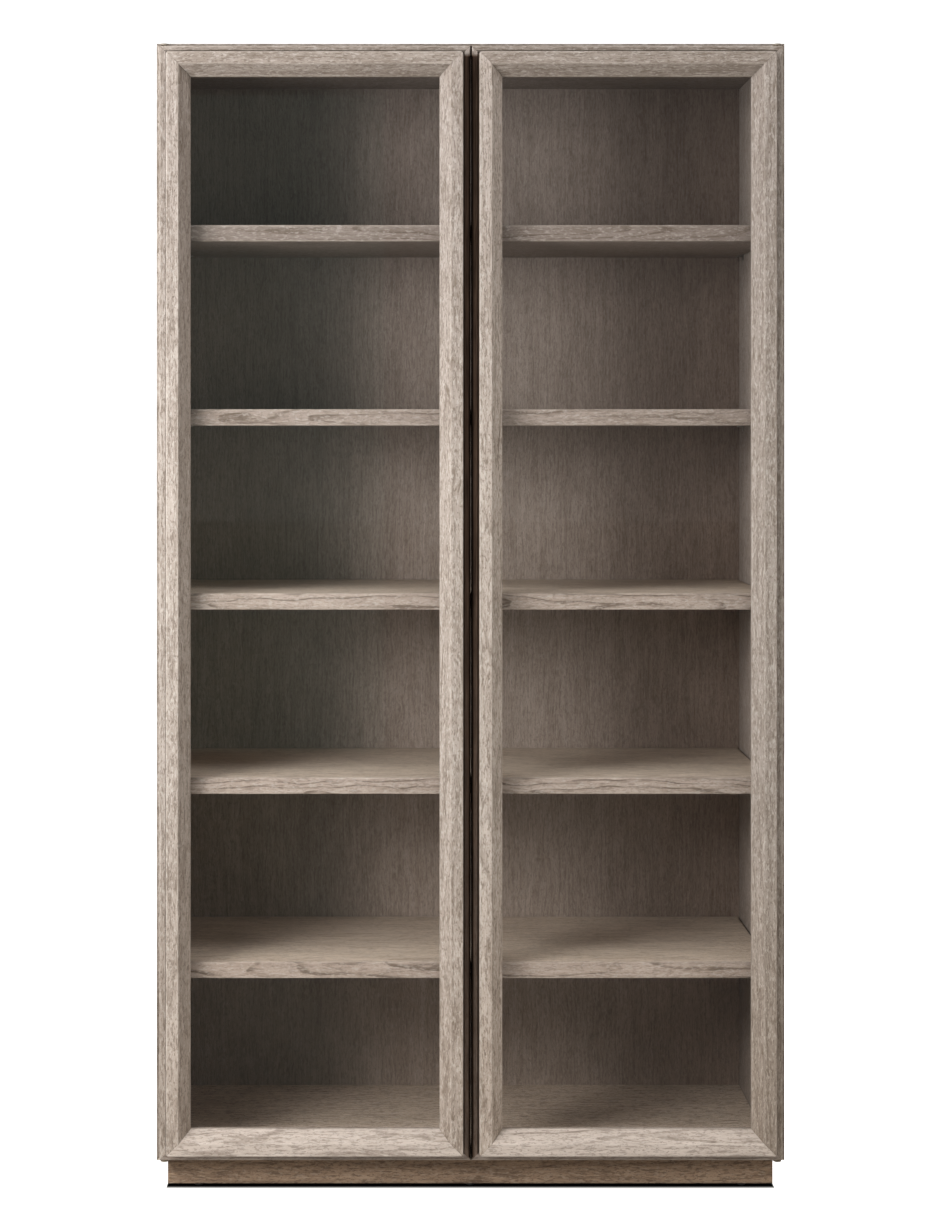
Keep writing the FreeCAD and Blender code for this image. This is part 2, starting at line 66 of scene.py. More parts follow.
class Grain(Enum):
    """Direction in which a board's fibres run, as the number of its axis."""

    ACROSS = 0
    DEEP = 1
    UPRIGHT = 2


class Hand(Enum):
    """Side of the bookcase that a door hangs on, as the name of its body."""

    LEFT = "left_door"
    RIGHT = "right_door"


class Edge(Enum):
    """Place of a frame member, as its turn about the depth axis in degrees."""

    LEFT = 0
    TOP = 90
    RIGHT = 180
    BOTTOM = 270


# ---------------------------------------------------------------------------
# Modelling helpers: each one wraps a step done by hand in edit mode
# ---------------------------------------------------------------------------


def deselect_everything() -> None:
    """Leave object mode with nothing selected."""
    if bpy.context.mode != "OBJECT":
        bpy.ops.object.mode_set(mode="OBJECT")
    bpy.ops.object.select_all(action="DESELECT")


def make_active(piece: bpy.types.Object) -> None:
    """Select one object alone and make it active."""
    deselect_everything()
    piece.select_set(True)
    bpy.context.view_layer.objects.active = piece


@contextmanager
def editing(piece: bpy.types.Object) -> Iterator[None]:
    """Open a piece in edit mode with nothing selected, and close it again.

    Args:
        piece: the mesh object to edit.
    """
    make_active(piece)
    bpy.ops.object.mode_set(mode="EDIT")
    bpy.ops.mesh.select_all(action="DESELECT")
    yield
    bpy.ops.object.mode_set(mode="OBJECT")


def select_where(part: str, test: Callable[[object], bool]) -> None:
    """Select the verts, edges or faces of the open mesh that pass a test.

    Args:
        part: "verts", "edges" or "faces".
        test: says of one bmesh element whether it is wanted.
    """
    modes = {"verts": (True, False, False), "edges": (False, True, False),
             "faces": (False, False, True)}
    bpy.context.tool_settings.mesh_select_mode = modes[part]
    bpy.ops.mesh.select_all(action="DESELECT")
    mesh = bpy.context.edit_object.data
    form = bmesh.from_edit_mesh(mesh)
    wanted = [element for element in getattr(form, part) if test(element)]
    for element in wanted:
        element.select_set(True)
    form.select_flush_mode()
    bmesh.update_edit_mesh(mesh)


def near(value: float, target: float, slack: float = 0.02 * MM) -> bool:
    """True if two lengths agree within a little slack."""
    return abs(value - target) < slack


def middle_of(element: object) -> Vector:
    """Mean place of an edge's or a face's corners."""
    corners = [vertex.co for vertex in element.verts]
    return sum(corners, Vector()) / len(corners)


def slice_open_mesh(place: Point, away: Point, trim: bool = False) -> None:
    """Bisect the whole open mesh by a plane.

    Args:
        place: a point of the plane.
        away: the plane's normal; trimming removes what lies on this side.
        trim: True to cut the far side off and close the cut.
    """
    bpy.ops.mesh.select_all(action="SELECT")
    bpy.ops.mesh.bisect(plane_co=place, plane_no=away, use_fill=trim,
                        clear_outer=trim, threshold=1e-6)
    bpy.ops.mesh.select_all(action="DESELECT")


def extrude_selected(shift: Point) -> None:
    """Extrude the selected faces as one region and move them."""
    bpy.ops.mesh.extrude_region_move(TRANSFORM_OT_translate={"value": shift})


def round_selected(radius: float, segments: int = 3) -> None:
    """Bevel the selected edges to a quarter round."""
    bpy.ops.mesh.bevel(offset=radius, offset_type="OFFSET", segments=segments,
                       profile=0.5, affect="EDGES", clamp_overlap=True)


def block_between(name: str, low: Point, high: Point) -> bpy.types.Object:
    """Add a cube primitive that fills the space between two corners.

    Args:
        name: the new object's name.
        low: the lowest corner.
        high: the highest corner.

    Returns:
        The object, at the origin, with its place in its mesh.
    """
    deselect_everything()
    middle = [(a + b) / 2 for a, b in zip(low, high)]
    spans = [b - a for a, b in zip(low, high)]
    bpy.ops.mesh.primitive_cube_add(size=1, location=middle, scale=spans)
    piece = bpy.context.active_object
    piece.name = piece.data.name = name
    bpy.ops.object.transform_apply(location=True, rotation=True, scale=True)
    return piece


def convex_turn(edge: object) -> float:
    """Angle by which the surface turns over an edge: above 0 outwards, below 0 in."""
    if len(edge.link_faces) != 2:
        return 0.0
    first, second = edge.link_faces
    turn = first.normal.angle(second.normal, 0.0)
    outwards = (second.calc_center_median() - first.calc_center_median()).dot(first.normal) < 0
    return turn if outwards else -turn


@dataclass(frozen=True)
class Plane:
    """Flat cut, given by a point in it and the direction that is cut away."""

    place: Point
    away: Point

    def height_of(self, point: Vector) -> float:
        """Distance of a point from the plane, above 0 on the side cut away."""
        return (point - Vector(self.place)).dot(Vector(self.away).normalized())

    def holds(self, point: Vector) -> bool:
        """True of a point in the plane."""
        return abs(self.height_of(point)) < IN_PLANE

    def lowered(self, depth: float) -> "Plane":
        """The same plane moved back into the piece."""
        back = Vector(self.place) - Vector(self.away).normalized() * depth
        return Plane(tuple(back), self.away)


def mark_wear_and_shade(piece: bpy.types.Object, joints: Sequence[Plane] = (),
              joint_depth: float = 0.0,
              wears: Callable[[Vector], bool] = lambda point: True,
              stain_and_shade_at: Callable[[Vector], float] = lambda point: 0.0,
              shade_and_wax_at: Callable[[Vector], float] = lambda point: 0.0) -> None:
    """Store where a mesh turns outwards and inwards, for its finish to read.

    The vertex attribute "arris" is 1 on rounded outer corners, and "crevice_shade" is
    1 in inner corners, where the finish paints shade with some dark wax. Both fade to 0
    over the faces next to them. "stain" is 1 where the wood is painted dark,
    as staining and as painted shade.

    Args:
        piece: the finished mesh object.
        joints: the planes where it meets its neighbours, which don't wear.
        joint_depth: the "crevice_shade" value along those joints.
        wears: says of a point whether it can wear at all.
        stain_and_shade_at: says how dark a point is painted, as staining and painted
            shade, from 0 up.
        shade_and_wax_at: says how much painted shade and dark wax lie at a point, from
            0 to 1.
    """
    least_turn = math.radians(8)
    form = bmesh.new()
    form.from_mesh(piece.data)
    form.verts.index_update()
    arris = [0.0] * len(form.verts)
    crevice_shade = [0.0] * len(form.verts)
    in_joint = {
        vertex.index for vertex in form.verts
        if any(plane.holds(vertex.co) for plane in joints)
    }
    for edge in form.edges:
        ends = [vertex.index for vertex in edge.verts]
        if all(end in in_joint for end in ends):
            continue
        turn = convex_turn(edge)
        for vertex in edge.verts:
            if not wears(vertex.co):
                continue
            if turn > least_turn:
                arris[vertex.index] = 1.0
            elif turn < -least_turn:
                crevice_shade[vertex.index] = 1.0
    for index in in_joint:
        crevice_shade[index] = max(crevice_shade[index], joint_depth)
    for vertex in form.verts:
        if shade_and_wax_at(vertex.co):
            arris[vertex.index], crevice_shade[vertex.index] = 0.0, shade_and_wax_at(vertex.co)
    stain = [stain_and_shade_at(vertex.co) for vertex in form.verts]
    form.free()
    for name, values in (("arris", arris), ("crevice_shade", crevice_shade), ("stain", stain)):
        layer = piece.data.attributes.new(name, "FLOAT", "POINT")
        layer.data.foreach_set("value", values)


def soften_shading(piece: bpy.types.Object, limit: float = 40) -> None:
    """Shade a piece smooth where its faces meet at less than limit degrees."""
    make_active(piece)
    bpy.ops.object.shade_smooth_by_angle(angle=math.radians(limit))


def finish_piece(piece: bpy.types.Object, body: str,
                 nodes: Sequence[str], material: bpy.types.Material) -> None:
    """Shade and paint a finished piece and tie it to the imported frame.

    Args:
        piece: the mesh object, with its place in its mesh.
        body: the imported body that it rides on.
        nodes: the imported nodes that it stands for.
        material: its finish.
    """
    soften_shading(piece)
    piece.data.materials.clear()
    piece.data.materials.append(material)
    deselect_everything()
    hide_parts(*nodes)
    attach(piece, body)
    LOG.info("%s: %d faces, rides on %s", piece.name, len(piece.data.polygons), body)


# ---------------------------------------------------------------------------
# Node sheets and shared node groups
# ---------------------------------------------------------------------------


FLOAT, VECTOR = "NodeSocketFloat", "NodeSocketVector"


class NodeSheet:
    """A node tree with short calls that add a node and wire its inputs."""

    def __init__(self, tree: bpy.types.NodeTree) -> None:
        """Start on an existing tree."""
        self.tree = tree

    def wire(self, socket: bpy.types.NodeSocket, value: object) -> None:
        """Link a socket to another one, or set its value."""
        if isinstance(value, bpy.types.NodeSocket):
            self.tree.links.new(value, socket)
        else:
            socket.default_value = value

    def add(self, kind: str, inputs: dict | None = None, **settings: object) -> bpy.types.Node:
        """Add a node.

        Args:
            kind: the node's type name.
            inputs: values or sockets, by input name or number.
            settings: the node's own properties.

        Returns:
            The new node.
        """
        node = self.tree.nodes.new(kind)
        for name, value in settings.items():
            setattr(node, name, value)
        for key, value in (inputs or {}).items():
            self.wire(node.inputs[key], value)
        return node

    def maths(self, operation: str, *values: object) -> bpy.types.NodeSocket:
        """Result of a Math node on up to three values."""
        node = self.add("ShaderNodeMath", dict(enumerate(values)), operation=operation)
        return node.outputs[0]

    def scaled(self, vector: bpy.types.NodeSocket, factors: Point) -> bpy.types.NodeSocket:
        """A vector stretched by one factor for each axis."""
        node = self.add("ShaderNodeVectorMath", {0: vector, 1: factors}, operation="MULTIPLY")
        return node.outputs[0]

    def noise(self, vector: bpy.types.NodeSocket, factors: Point, detail: float = 2.0,
              roughness: float = 0.5) -> bpy.types.NodeSocket:
        """Noise with one frequency, in cycles a metre, for each axis."""
        node = self.add("ShaderNodeTexNoise",
                        {"Vector": self.scaled(vector, factors), "Scale": 1.0,
                         "Detail": detail, "Roughness": roughness})
        return node.outputs[0]

    def ranged(self, value: object, low: float, high: float, to_low: float = 0.0,
               to_high: float = 1.0, smooth: bool = True) -> bpy.types.NodeSocket:
        """A value mapped from one range to another and held inside it."""
        node = self.add("ShaderNodeMapRange",
                        {"Value": value, "From Min": low, "From Max": high,
                         "To Min": to_low, "To Max": to_high},
                        interpolation_type="SMOOTHSTEP" if smooth else "LINEAR")
        return node.outputs[0]

    def blend(self, amount: object, first: object, second: object,
              mode: str = "MIX") -> bpy.types.NodeSocket:
        """Two colours mixed by an amount from 0 to 1."""
        node = self.add("ShaderNodeMix", data_type="RGBA", blend_type=mode)
        node.clamp_factor = True
        for number, value in ((0, amount), (6, first), (7, second)):
            self.wire(node.inputs[number], value)
        return node.outputs[2]


class GroupSheet(NodeSheet):
    """A sheet on a new shader node group, with its input and output nodes."""

    def __init__(self, name: str, inputs: Sequence[tuple], outputs: Sequence[str]) -> None:
        """Start the group.

        Args:
            name: the group's name.
            inputs: (name, socket type, default) for each input.
            outputs: the name of each output, which are all masks.
        """
        super().__init__(bpy.data.node_groups.new(name, "ShaderNodeTree"))
        for title, kind, default in inputs:
            socket = self.tree.interface.new_socket(title, in_out="INPUT", socket_type=kind)
            if default is not None:
                socket.default_value = default
        for title in outputs:
            self.tree.interface.new_socket(title, in_out="OUTPUT", socket_type=FLOAT)
        self.source = self.add("NodeGroupInput").outputs
        self.result = self.add("NodeGroupOutput").inputs


def blank_finish(name: str) -> tuple[bpy.types.Material, NodeSheet]:
    """A new material, and the sheet of its empty node tree."""
    made = bpy.data.materials.new(name)
    made.use_nodes = True
    made.node_tree.nodes.clear()
    return made, NodeSheet(made.node_tree)


def make_oak_fibre_group() -> bpy.types.NodeTree:
    """Masks of open-pored oak whose fibres run along the vector's Z.

    Returns:
        The group: growth rings, dark ring lines, streaks, pores, lime and blotches.
    """
    sheet = GroupSheet(
        "oak_fibre",
        [("Vector", VECTOR, None), ("Ring spacing", FLOAT, 0.009), ("Taper", FLOAT, 0.045)],
        ["Rings", "Ring lines", "Streaks", "Pores", "Lime", "Blotches"],
    )
    straight = sheet.source["Vector"]
    # No trunk grows straight, so the fibres lean a little along their length
    drift = sheet.maths("SUBTRACT", sheet.noise(straight, (16, 16, 7), 2), 0.5)
    lean = sheet.add("ShaderNodeCombineXYZ", {0: sheet.maths("MULTIPLY", drift, 0.016),
                                              1: sheet.maths("MULTIPLY", drift, 0.011)})
    vector = sheet.add("ShaderNodeVectorMath", {0: straight, 1: lean.outputs[0]},
                       operation="ADD").outputs[0]
    # Rings: distance from a tapering heart, swayed and rippled, cut into spacings
    sway = sheet.noise(straight, (9, 9, 1.6), 3)
    ripple = sheet.noise(straight, (60, 60, 7), 2)
    narrowing = sheet.add("ShaderNodeCombineXYZ", {0: 1.0, 1: 1.0, 2: sheet.source["Taper"]})
    heart = sheet.add("ShaderNodeVectorMath", {0: vector, 1: narrowing.outputs[0]},
                      operation="MULTIPLY").outputs[0]
    reach = sheet.add("ShaderNodeVectorMath", {0: heart}, operation="LENGTH").outputs["Value"]
    swayed = sheet.maths("MULTIPLY_ADD", sway, 0.05, reach)
    wavy = sheet.maths("MULTIPLY_ADD", ripple, 0.004, swayed)
    turns = sheet.maths("DIVIDE", wavy, sheet.source["Ring spacing"])
    phase = sheet.maths("FRACT", turns)
    late = sheet.ranged(phase, 0.45, 0.95)
    early = sheet.ranged(phase, 0.95, 1.0, 1.0, 0.0)
    sheet.wire(sheet.result["Rings"], sheet.maths("MULTIPLY", late, early))
    thin = sheet.maths("MULTIPLY", sheet.ranged(phase, 0.70, 0.86), early)
    broken = sheet.ranged(sheet.noise(vector, (70, 70, 14), 3, 0.7), 0.36, 0.56)
    sheet.wire(sheet.result["Ring lines"], sheet.maths("MULTIPLY", thin, broken))
    # Streaks and pores: noise drawn out along the fibres
    broad = sheet.noise(vector, (95, 95, 4), 3, 0.6)
    fine = sheet.noise(vector, (300, 300, 14), 3, 0.65)
    streaks = sheet.maths("MULTIPLY_ADD", sheet.maths("SUBTRACT", fine, 0.5), 1.1, broad)
    sheet.wire(sheet.result["Streaks"], sheet.ranged(streaks, 0.22, 0.78, smooth=False))
    long_pores = sheet.ranged(sheet.noise(vector, (290, 290, 42), 3, 0.65), 0.52, 0.62)
    dashes = sheet.ranged(sheet.noise(vector, (350, 350, 120), 2, 0.7), 0.54, 0.65)
    sheet.wire(sheet.result["Pores"], sheet.maths("MAXIMUM", long_pores, dashes))
    # Lime lies in pores of its own, so it reads the noise somewhere else
    elsewhere = sheet.add("ShaderNodeVectorMath", {0: vector, 1: (3.7, 1.9, 5.3)},
                          operation="ADD").outputs[0]
    flecks = sheet.noise(elsewhere, (310, 310, 85), 2, 0.7)
    sheet.wire(sheet.result["Lime"], sheet.ranged(flecks, 0.52, 0.66))
    cloud = sheet.noise(vector, (26, 26, 9), 3, 0.6)
    sheet.wire(sheet.result["Blotches"], sheet.ranged(cloud, 0.34, 0.66))
    return sheet.tree


def make_wear_and_shade_group() -> bpy.types.NodeTree:
    """Broken-up masks of worn arrises, and of painted shade with dark wax in inner corners.

    Returns:
        The group, which reads the piece's own "arris" and "crevice_shade" attributes.
    """
    sheet = GroupSheet("wear_and_shade", [("Vector", VECTOR, None)], ["Worn", "Shade and wax"])
    vector = sheet.source["Vector"]
    patches = sheet.noise(vector, (150, 150, 24), 3, 0.6)
    for attribute, output, low, high in (("arris", "Worn", 0.72, 1.25),
                                         ("crevice_shade", "Shade and wax", 0.5, 1.0)):
        reach = sheet.add("ShaderNodeAttribute", attribute_name=attribute).outputs["Fac"]
        total = sheet.maths("ADD", reach, sheet.maths("MULTIPLY", patches, 0.5))
        sheet.wire(sheet.result[output], sheet.ranged(total, low, high))
    return sheet.tree


def make_handling_group() -> bpy.types.NodeTree:
    """Fine surface unevenness for metal, rubber and plastic.

    Returns:
        The group: a cloudy tone mask and a fine grain mask.
    """
    sheet = GroupSheet("handling_marks",
                       [("Vector", VECTOR, None), ("Grain size", FLOAT, 900.0)],
                       ["Cloud", "Speck"])
    vector = sheet.source["Vector"]
    sheet.wire(sheet.result["Cloud"],
               sheet.ranged(sheet.noise(vector, (70, 70, 70), 4, 0.6), 0.3, 0.7))
    speck = sheet.add("ShaderNodeTexNoise",
                      {"Vector": vector, "Scale": sheet.source["Grain size"],
                       "Detail": 3.0, "Roughness": 0.6})
    sheet.wire(sheet.result["Speck"], speck.outputs[0])
    return sheet.tree


OAK_FIBRE = make_oak_fibre_group()
WEAR_AND_SHADE = make_wear_and_shade_group()
HANDLING = make_handling_group()

# Turns that bring each grain direction onto the fibre group's Z
FIBRE_TURNS = {
    Grain.UPRIGHT: (0.0, 0.0, 0.0),
    Grain.ACROSS: (0.0, -math.pi / 2, 0.0),
    Grain.DEEP: (math.pi / 2, 0.0, 0.0),
}


def opaque(colour: Colour) -> tuple[float, float, float, float]:
    """A colour with full alpha."""
    return (*colour, 1.0)


@dataclass(frozen=True)
class LimedOak:
    """Weathered oak with lime wax in its pores.

    The colours are linear. tone lightens or darkens one board, and on many boards it
    also carries painted light and shade; heart is where the rings of its tree are
    centred, so that no two boards match. grey_above and warm_below
    are painted light and shade, which tint a board over the heights given for them,
    and black_from says which stain values turn it black as painted shade.
    leaf_tints are a painted pool of light and shade across a sheet, each
    tint with its place along X.
    """

    name: str
    grain: Grain
    heart: Point = (0.11, 0.07, 0.3)
    tone: float = 1.0
    rings: float = 0.22
    ring_lines: float = 0.3
    streaks: float = 0.62
    blotches: float = 0.26
    pores: float = 0.66
    lime: float = 0.42
    wear: float = 0.14
    ring_spacing: float = 0.009
    taper: float = 0.045
    sheen: float = 0.32
    pale: Colour = (0.50, 0.436, 0.388)
    deep: Colour = (0.315, 0.262, 0.221)
    pore: Colour = (0.15, 0.113, 0.085)
    wax: Colour = (0.60, 0.555, 0.505)
    worn: Colour = (0.56, 0.50, 0.44)
    # Painted shade with some dark wax, for inner corners and dark joints.
    crevice_shade: Colour = (0.045, 0.034, 0.026)
    # Staining and painted shade for the door frames, and black painted shade for the gap between
    # the doors.
    stain: Colour = (0.125, 0.079, 0.051)
    dark_stain: Colour = (0.045, 0.028, 0.019)
    black_shade: Colour = (0.006, 0.004, 0.003)
    # Painted light and shade by height: darker towards the top, and a tint towards the floor.
    grey_above: Colour = (0.83, 0.825, 0.835)
    grey_heights: tuple[float, float] = (1.2, 2.1)
    warm_below: Colour = (1.03, 1.0, 0.97)
    painted_light_heights: tuple[float, float] = (0.1, 0.9)
    black_from: tuple[float, float] = (0.95, 1.5)
    # How fully the painted shade and dark wax cover inner corners.
    shade_and_wax_cover: float = 0.9
    roughest: float = 0.66
    smoothest: float = 0.52
    relief_strength: float = 0.55
    relief_depth: float = 0.6 * MM
    # Painted pool of light and shade across a sheet, with its places along X.
    leaf_tints: tuple[tuple[float, Colour], ...] = ()

    def material(self) -> bpy.types.Material:
        """Build the finish.

        Returns:
            A material that reads Object coordinates and the wear and painted shade attributes.
        """
        made, sheet = blank_finish(self.name)
        place = sheet.add("ShaderNodeTexCoord").outputs["Object"]
        shifted = sheet.add("ShaderNodeMapping",
                            {"Vector": place, "Location": [-x for x in self.heart]},
                            vector_type="POINT").outputs[0]
        along = sheet.add("ShaderNodeMapping",
                          {"Vector": shifted, "Rotation": FIBRE_TURNS[self.grain]},
                          vector_type="POINT").outputs[0]
        fibre = sheet.add("ShaderNodeGroup",
                          {"Vector": along, "Ring spacing": self.ring_spacing,
                           "Taper": self.taper}, node_tree=OAK_FIBRE)
        wear = sheet.add("ShaderNodeGroup", {"Vector": along}, node_tree=WEAR_AND_SHADE)
        colour = self.wood_colour(sheet, fibre, wear, place)
        height = self.relief(sheet, fibre)
        bump = sheet.add("ShaderNodeBump", {"Strength": self.relief_strength,
                                            "Distance": self.relief_depth, "Height": height})
        rough = sheet.ranged(fibre.outputs["Streaks"], 0.0, 1.0, self.roughest,
                             self.smoothest, smooth=False)
        shader = sheet.add("ShaderNodeBsdfPrincipled",
                           {"Base Color": colour, "Roughness": rough,
                            "Normal": bump.outputs[0], "Specular IOR Level": self.sheen})
        sheet.add("ShaderNodeOutputMaterial", {"Surface": shader.outputs[0]})
        return made

    def wood_colour(self, sheet: NodeSheet, fibre: bpy.types.Node, wear: bpy.types.Node,
                    place: bpy.types.NodeSocket) -> bpy.types.NodeSocket:
        """Layer the board's colours from its fibre masks, its wear and its painted light and
        shade.

        Args:
            sheet: the material's node sheet.
            fibre: the board's oak_fibre node.
            wear: the board's wear_and_shade node.
            place: object coordinates, for the painted light and shade that change with height and
                across X.

        Returns:
            The colour socket.
        """
        pale, deep = (opaque(tuple(self.tone * c for c in shade))
                      for shade in (self.pale, self.deep))
        darkness = sheet.maths("MULTIPLY", fibre.outputs["Rings"], self.rings)
        darkness = sheet.maths("MULTIPLY_ADD", fibre.outputs["Streaks"], self.streaks, darkness)
        darkness = sheet.maths("MULTIPLY_ADD", fibre.outputs["Blotches"], self.blotches,
                               darkness)
        colour = sheet.blend(darkness, pale, deep)
        lined = sheet.maths("MULTIPLY", fibre.outputs["Ring lines"], self.ring_lines)
        colour = sheet.blend(lined, colour, opaque(self.pore))
        pored = sheet.maths("MULTIPLY", fibre.outputs["Pores"], self.pores)
        colour = sheet.blend(pored, colour, opaque(self.pore))
        limed = sheet.maths("MULTIPLY", fibre.outputs["Lime"], self.lime)
        colour = sheet.blend(limed, colour, opaque(self.wax))
        # Painted light and shade that change with height: darker towards the top, and a tint
        # towards the floor that warms some boards and darkens others.
        height = sheet.add("ShaderNodeSeparateXYZ", {0: place}).outputs["Z"]
        colour = sheet.blend(sheet.ranged(height, *self.grey_heights), colour,
                             opaque(self.grey_above), "MULTIPLY")
        colour = sheet.blend(sheet.ranged(height, *self.painted_light_heights, 1.0, 0.0), colour,
                             opaque(self.warm_below), "MULTIPLY")
        # Painted light across X: a pool of light with shade at both sides.
        if self.leaf_tints:
            colour = sheet.blend(1.0, colour, self.painted_light_ramp(sheet, place), "MULTIPLY")
        worn = sheet.maths("MULTIPLY", wear.outputs["Worn"], self.wear)
        colour = sheet.blend(worn, colour, opaque(self.worn))
        # Dark staining and painted shade from the piece's attribute.
        stain = sheet.blend(fibre.outputs["Streaks"], opaque(self.stain),
                            opaque(self.dark_stain))
        stain_and_shade_amount = sheet.add("ShaderNodeAttribute", attribute_name="stain").outputs["Fac"]
        colour = sheet.blend(stain_and_shade_amount, colour, stain)
        # The highest values turn black: painted shade in the gap between the doors.
        colour = sheet.blend(sheet.ranged(stain_and_shade_amount, *self.black_from, smooth=False), colour,
                             opaque(self.black_shade))
        # Painted shade with some dark wax in inner corners and beside the raised bands, and dark
        # joints.
        shade_and_wax = sheet.maths("MULTIPLY", wear.outputs["Shade and wax"], self.shade_and_wax_cover)
        return sheet.blend(shade_and_wax, colour, opaque(self.crevice_shade))

    def painted_light_ramp(self, sheet: NodeSheet, place: bpy.types.NodeSocket) -> bpy.types.NodeSocket:
        """Painted light and shade across the sheet, one colour stop for each tint.

        Args:
            sheet: the material's node sheet.
            place: object coordinates.

        Returns:
            The colour socket of the tint.
        """
        (start, first), (end, last) = self.leaf_tints[0], self.leaf_tints[-1]
        across = sheet.add("ShaderNodeSeparateXYZ", {0: place}).outputs["X"]
        share = sheet.ranged(across, start, end, smooth=False)
        ramp = sheet.add("ShaderNodeValToRGB", {"Fac": share})
        stops = ramp.color_ramp.elements
        stops[0].color, stops[1].color = opaque(first), opaque(last)
        for x, tint in self.leaf_tints[1:-1]:
            stops.new((x - start) / (end - start)).color = opaque(tint)
        return ramp.outputs["Color"]

    def relief(self, sheet: NodeSheet, fibre: bpy.types.Node) -> bpy.types.NodeSocket:
        """Height of the surface: open pores sunk below the harder fibres."""
        sunk = sheet.maths("MULTIPLY", fibre.outputs["Pores"], -0.8)
        ridged = sheet.maths("MULTIPLY_ADD", fibre.outputs["Streaks"], 0.5, sunk)
        return sheet.maths("MULTIPLY_ADD", fibre.outputs["Lime"], 0.2, ridged)


@dataclass(frozen=True)
class ClearGlass:
    """Thin clear pane that lets lamps through, with a faint film of dust."""

    name: str
    tint: Colour = (0.965, 0.96, 0.96)
    film: Colour = (0.94, 0.937, 0.937)
    shadow: Colour = (0.935, 0.93, 0.93)
    film_grain: float = 260.0

    def material(self) -> bpy.types.Material:
        """Build the finish.

        Returns:
            A glass material whose shadow is clear.
        """
        made, sheet = blank_finish(self.name)
        place = sheet.add("ShaderNodeTexCoord").outputs["Object"]
        marks = sheet.add("ShaderNodeGroup", {"Vector": place, "Grain size": self.film_grain},
                          node_tree=HANDLING)
        colour = sheet.blend(marks.outputs["Cloud"], opaque(self.tint), opaque(self.film))
        rough = sheet.ranged(marks.outputs["Cloud"], 0.0, 1.0, 0.0, 0.02, smooth=False)
        pane = sheet.add("ShaderNodeBsdfPrincipled",
                         {"Base Color": colour, "Roughness": rough, "IOR": 1.45,
                          "Transmission Weight": 1.0, "Metallic": 0.0})
        clear = sheet.add("ShaderNodeBsdfTransparent", {"Color": opaque(self.shadow)})
        path = sheet.add("ShaderNodeLightPath")
        through = sheet.maths("MAXIMUM", path.outputs["Is Shadow Ray"],
                              path.outputs["Is Diffuse Ray"])
        mixed = sheet.add("ShaderNodeMixShader",
                          {0: through, 1: pane.outputs[0], 2: clear.outputs[0]})
        sheet.add("ShaderNodeOutputMaterial", {"Surface": mixed.outputs[0]})
        return made


@dataclass(frozen=True)
class HardFinish:
    """Metal, plastic or rubber with a cloudy tone and a fine grain."""

    name: str
    colour: Colour
    shadowed: Colour
    metallic: float = 1.0
    smoothest: float = 0.28
    roughest: float = 0.5
    grain_size: float = 900.0
    relief: float = 0.05 * MM

    def material(self) -> bpy.types.Material:
        """Build the finish.

        Returns:
            A material that reads Object coordinates.
        """
        made, sheet = blank_finish(self.name)
        place = sheet.add("ShaderNodeTexCoord").outputs["Object"]
        marks = sheet.add("ShaderNodeGroup", {"Vector": place, "Grain size": self.grain_size},
                          node_tree=HANDLING)
        tone = sheet.blend(marks.outputs["Cloud"], opaque(self.colour), opaque(self.shadowed))
        rough = sheet.ranged(marks.outputs["Speck"], 0.25, 0.75, self.smoothest,
                             self.roughest, smooth=False)
        bump = sheet.add("ShaderNodeBump", {"Strength": 0.6, "Distance": self.relief,
                                            "Height": marks.outputs["Speck"]})
        shader = sheet.add("ShaderNodeBsdfPrincipled",
                           {"Base Color": tone, "Roughness": rough,
                            "Metallic": self.metallic, "Normal": bump.outputs[0]})
        sheet.add("ShaderNodeOutputMaterial", {"Surface": shader.outputs[0]})
        return made


# ---------------------------------------------------------------------------
# Boards
# ---------------------------------------------------------------------------


@dataclass
class EasedBoard:
    """A sawn board with eased arrises, cut square or mitred at its ends.

    margin is the width of the strip inside each broad face's edge, which keeps the
    wear narrow. A corner that turns by more than least_turn is eased, and it wears
    as far as reach times its easing. joint_depth is how dark the line along a
    mitre is.
    """

    name: str
    low: Point
    high: Point
    mitres: Sequence[Plane] = ()
    easing: float = 1.6 * MM
    margin: float = 5 * MM
    joint_depth: float = 0.5
    least_turn: float = math.radians(20)
    reach: float = 1.05

    def build(self) -> bpy.types.Object:
        """Model the board from a cube: mitre it, round its arrises, inset its faces.

        Returns:
            The board's object, with its wear not yet marked.
        """
        piece = block_between(self.name, self.low, self.high)
        with editing(piece):
            for mitre in self.mitres:
                slice_open_mesh(mitre.place, mitre.away, trim=True)
            select_where("edges", self.is_arris)
            round_selected(self.easing)
            select_where("faces", self.is_broad)
            bpy.ops.mesh.inset(thickness=self.margin, depth=0, use_individual=True)
        return piece

    def in_mitre(self, point: Vector) -> bool:
        """True of a point in one of the board's mitres."""
        return any(mitre.holds(point) for mitre in self.mitres)

    def is_arris(self, edge: object) -> bool:
        """True of an outer corner that a hand would ease."""
        return (convex_turn(edge) > self.least_turn
                and not all(self.in_mitre(vertex.co) for vertex in edge.verts))

    def is_broad(self, face: object) -> bool:
        """True of a visible face wide enough for a margin inside it."""
        shortest = min(edge.calc_length() for edge in face.edges)
        return shortest > 3 * self.margin and not self.in_mitre(middle_of(face))

    def wears(self, point: Vector) -> bool:
        """True of a point on one of the board's long corners."""
        reached = 0
        for value, low, high in zip(point, self.low, self.high):
            if min(value - low, high - value) < self.easing * self.reach:
                reached += 1
        return reached > 1


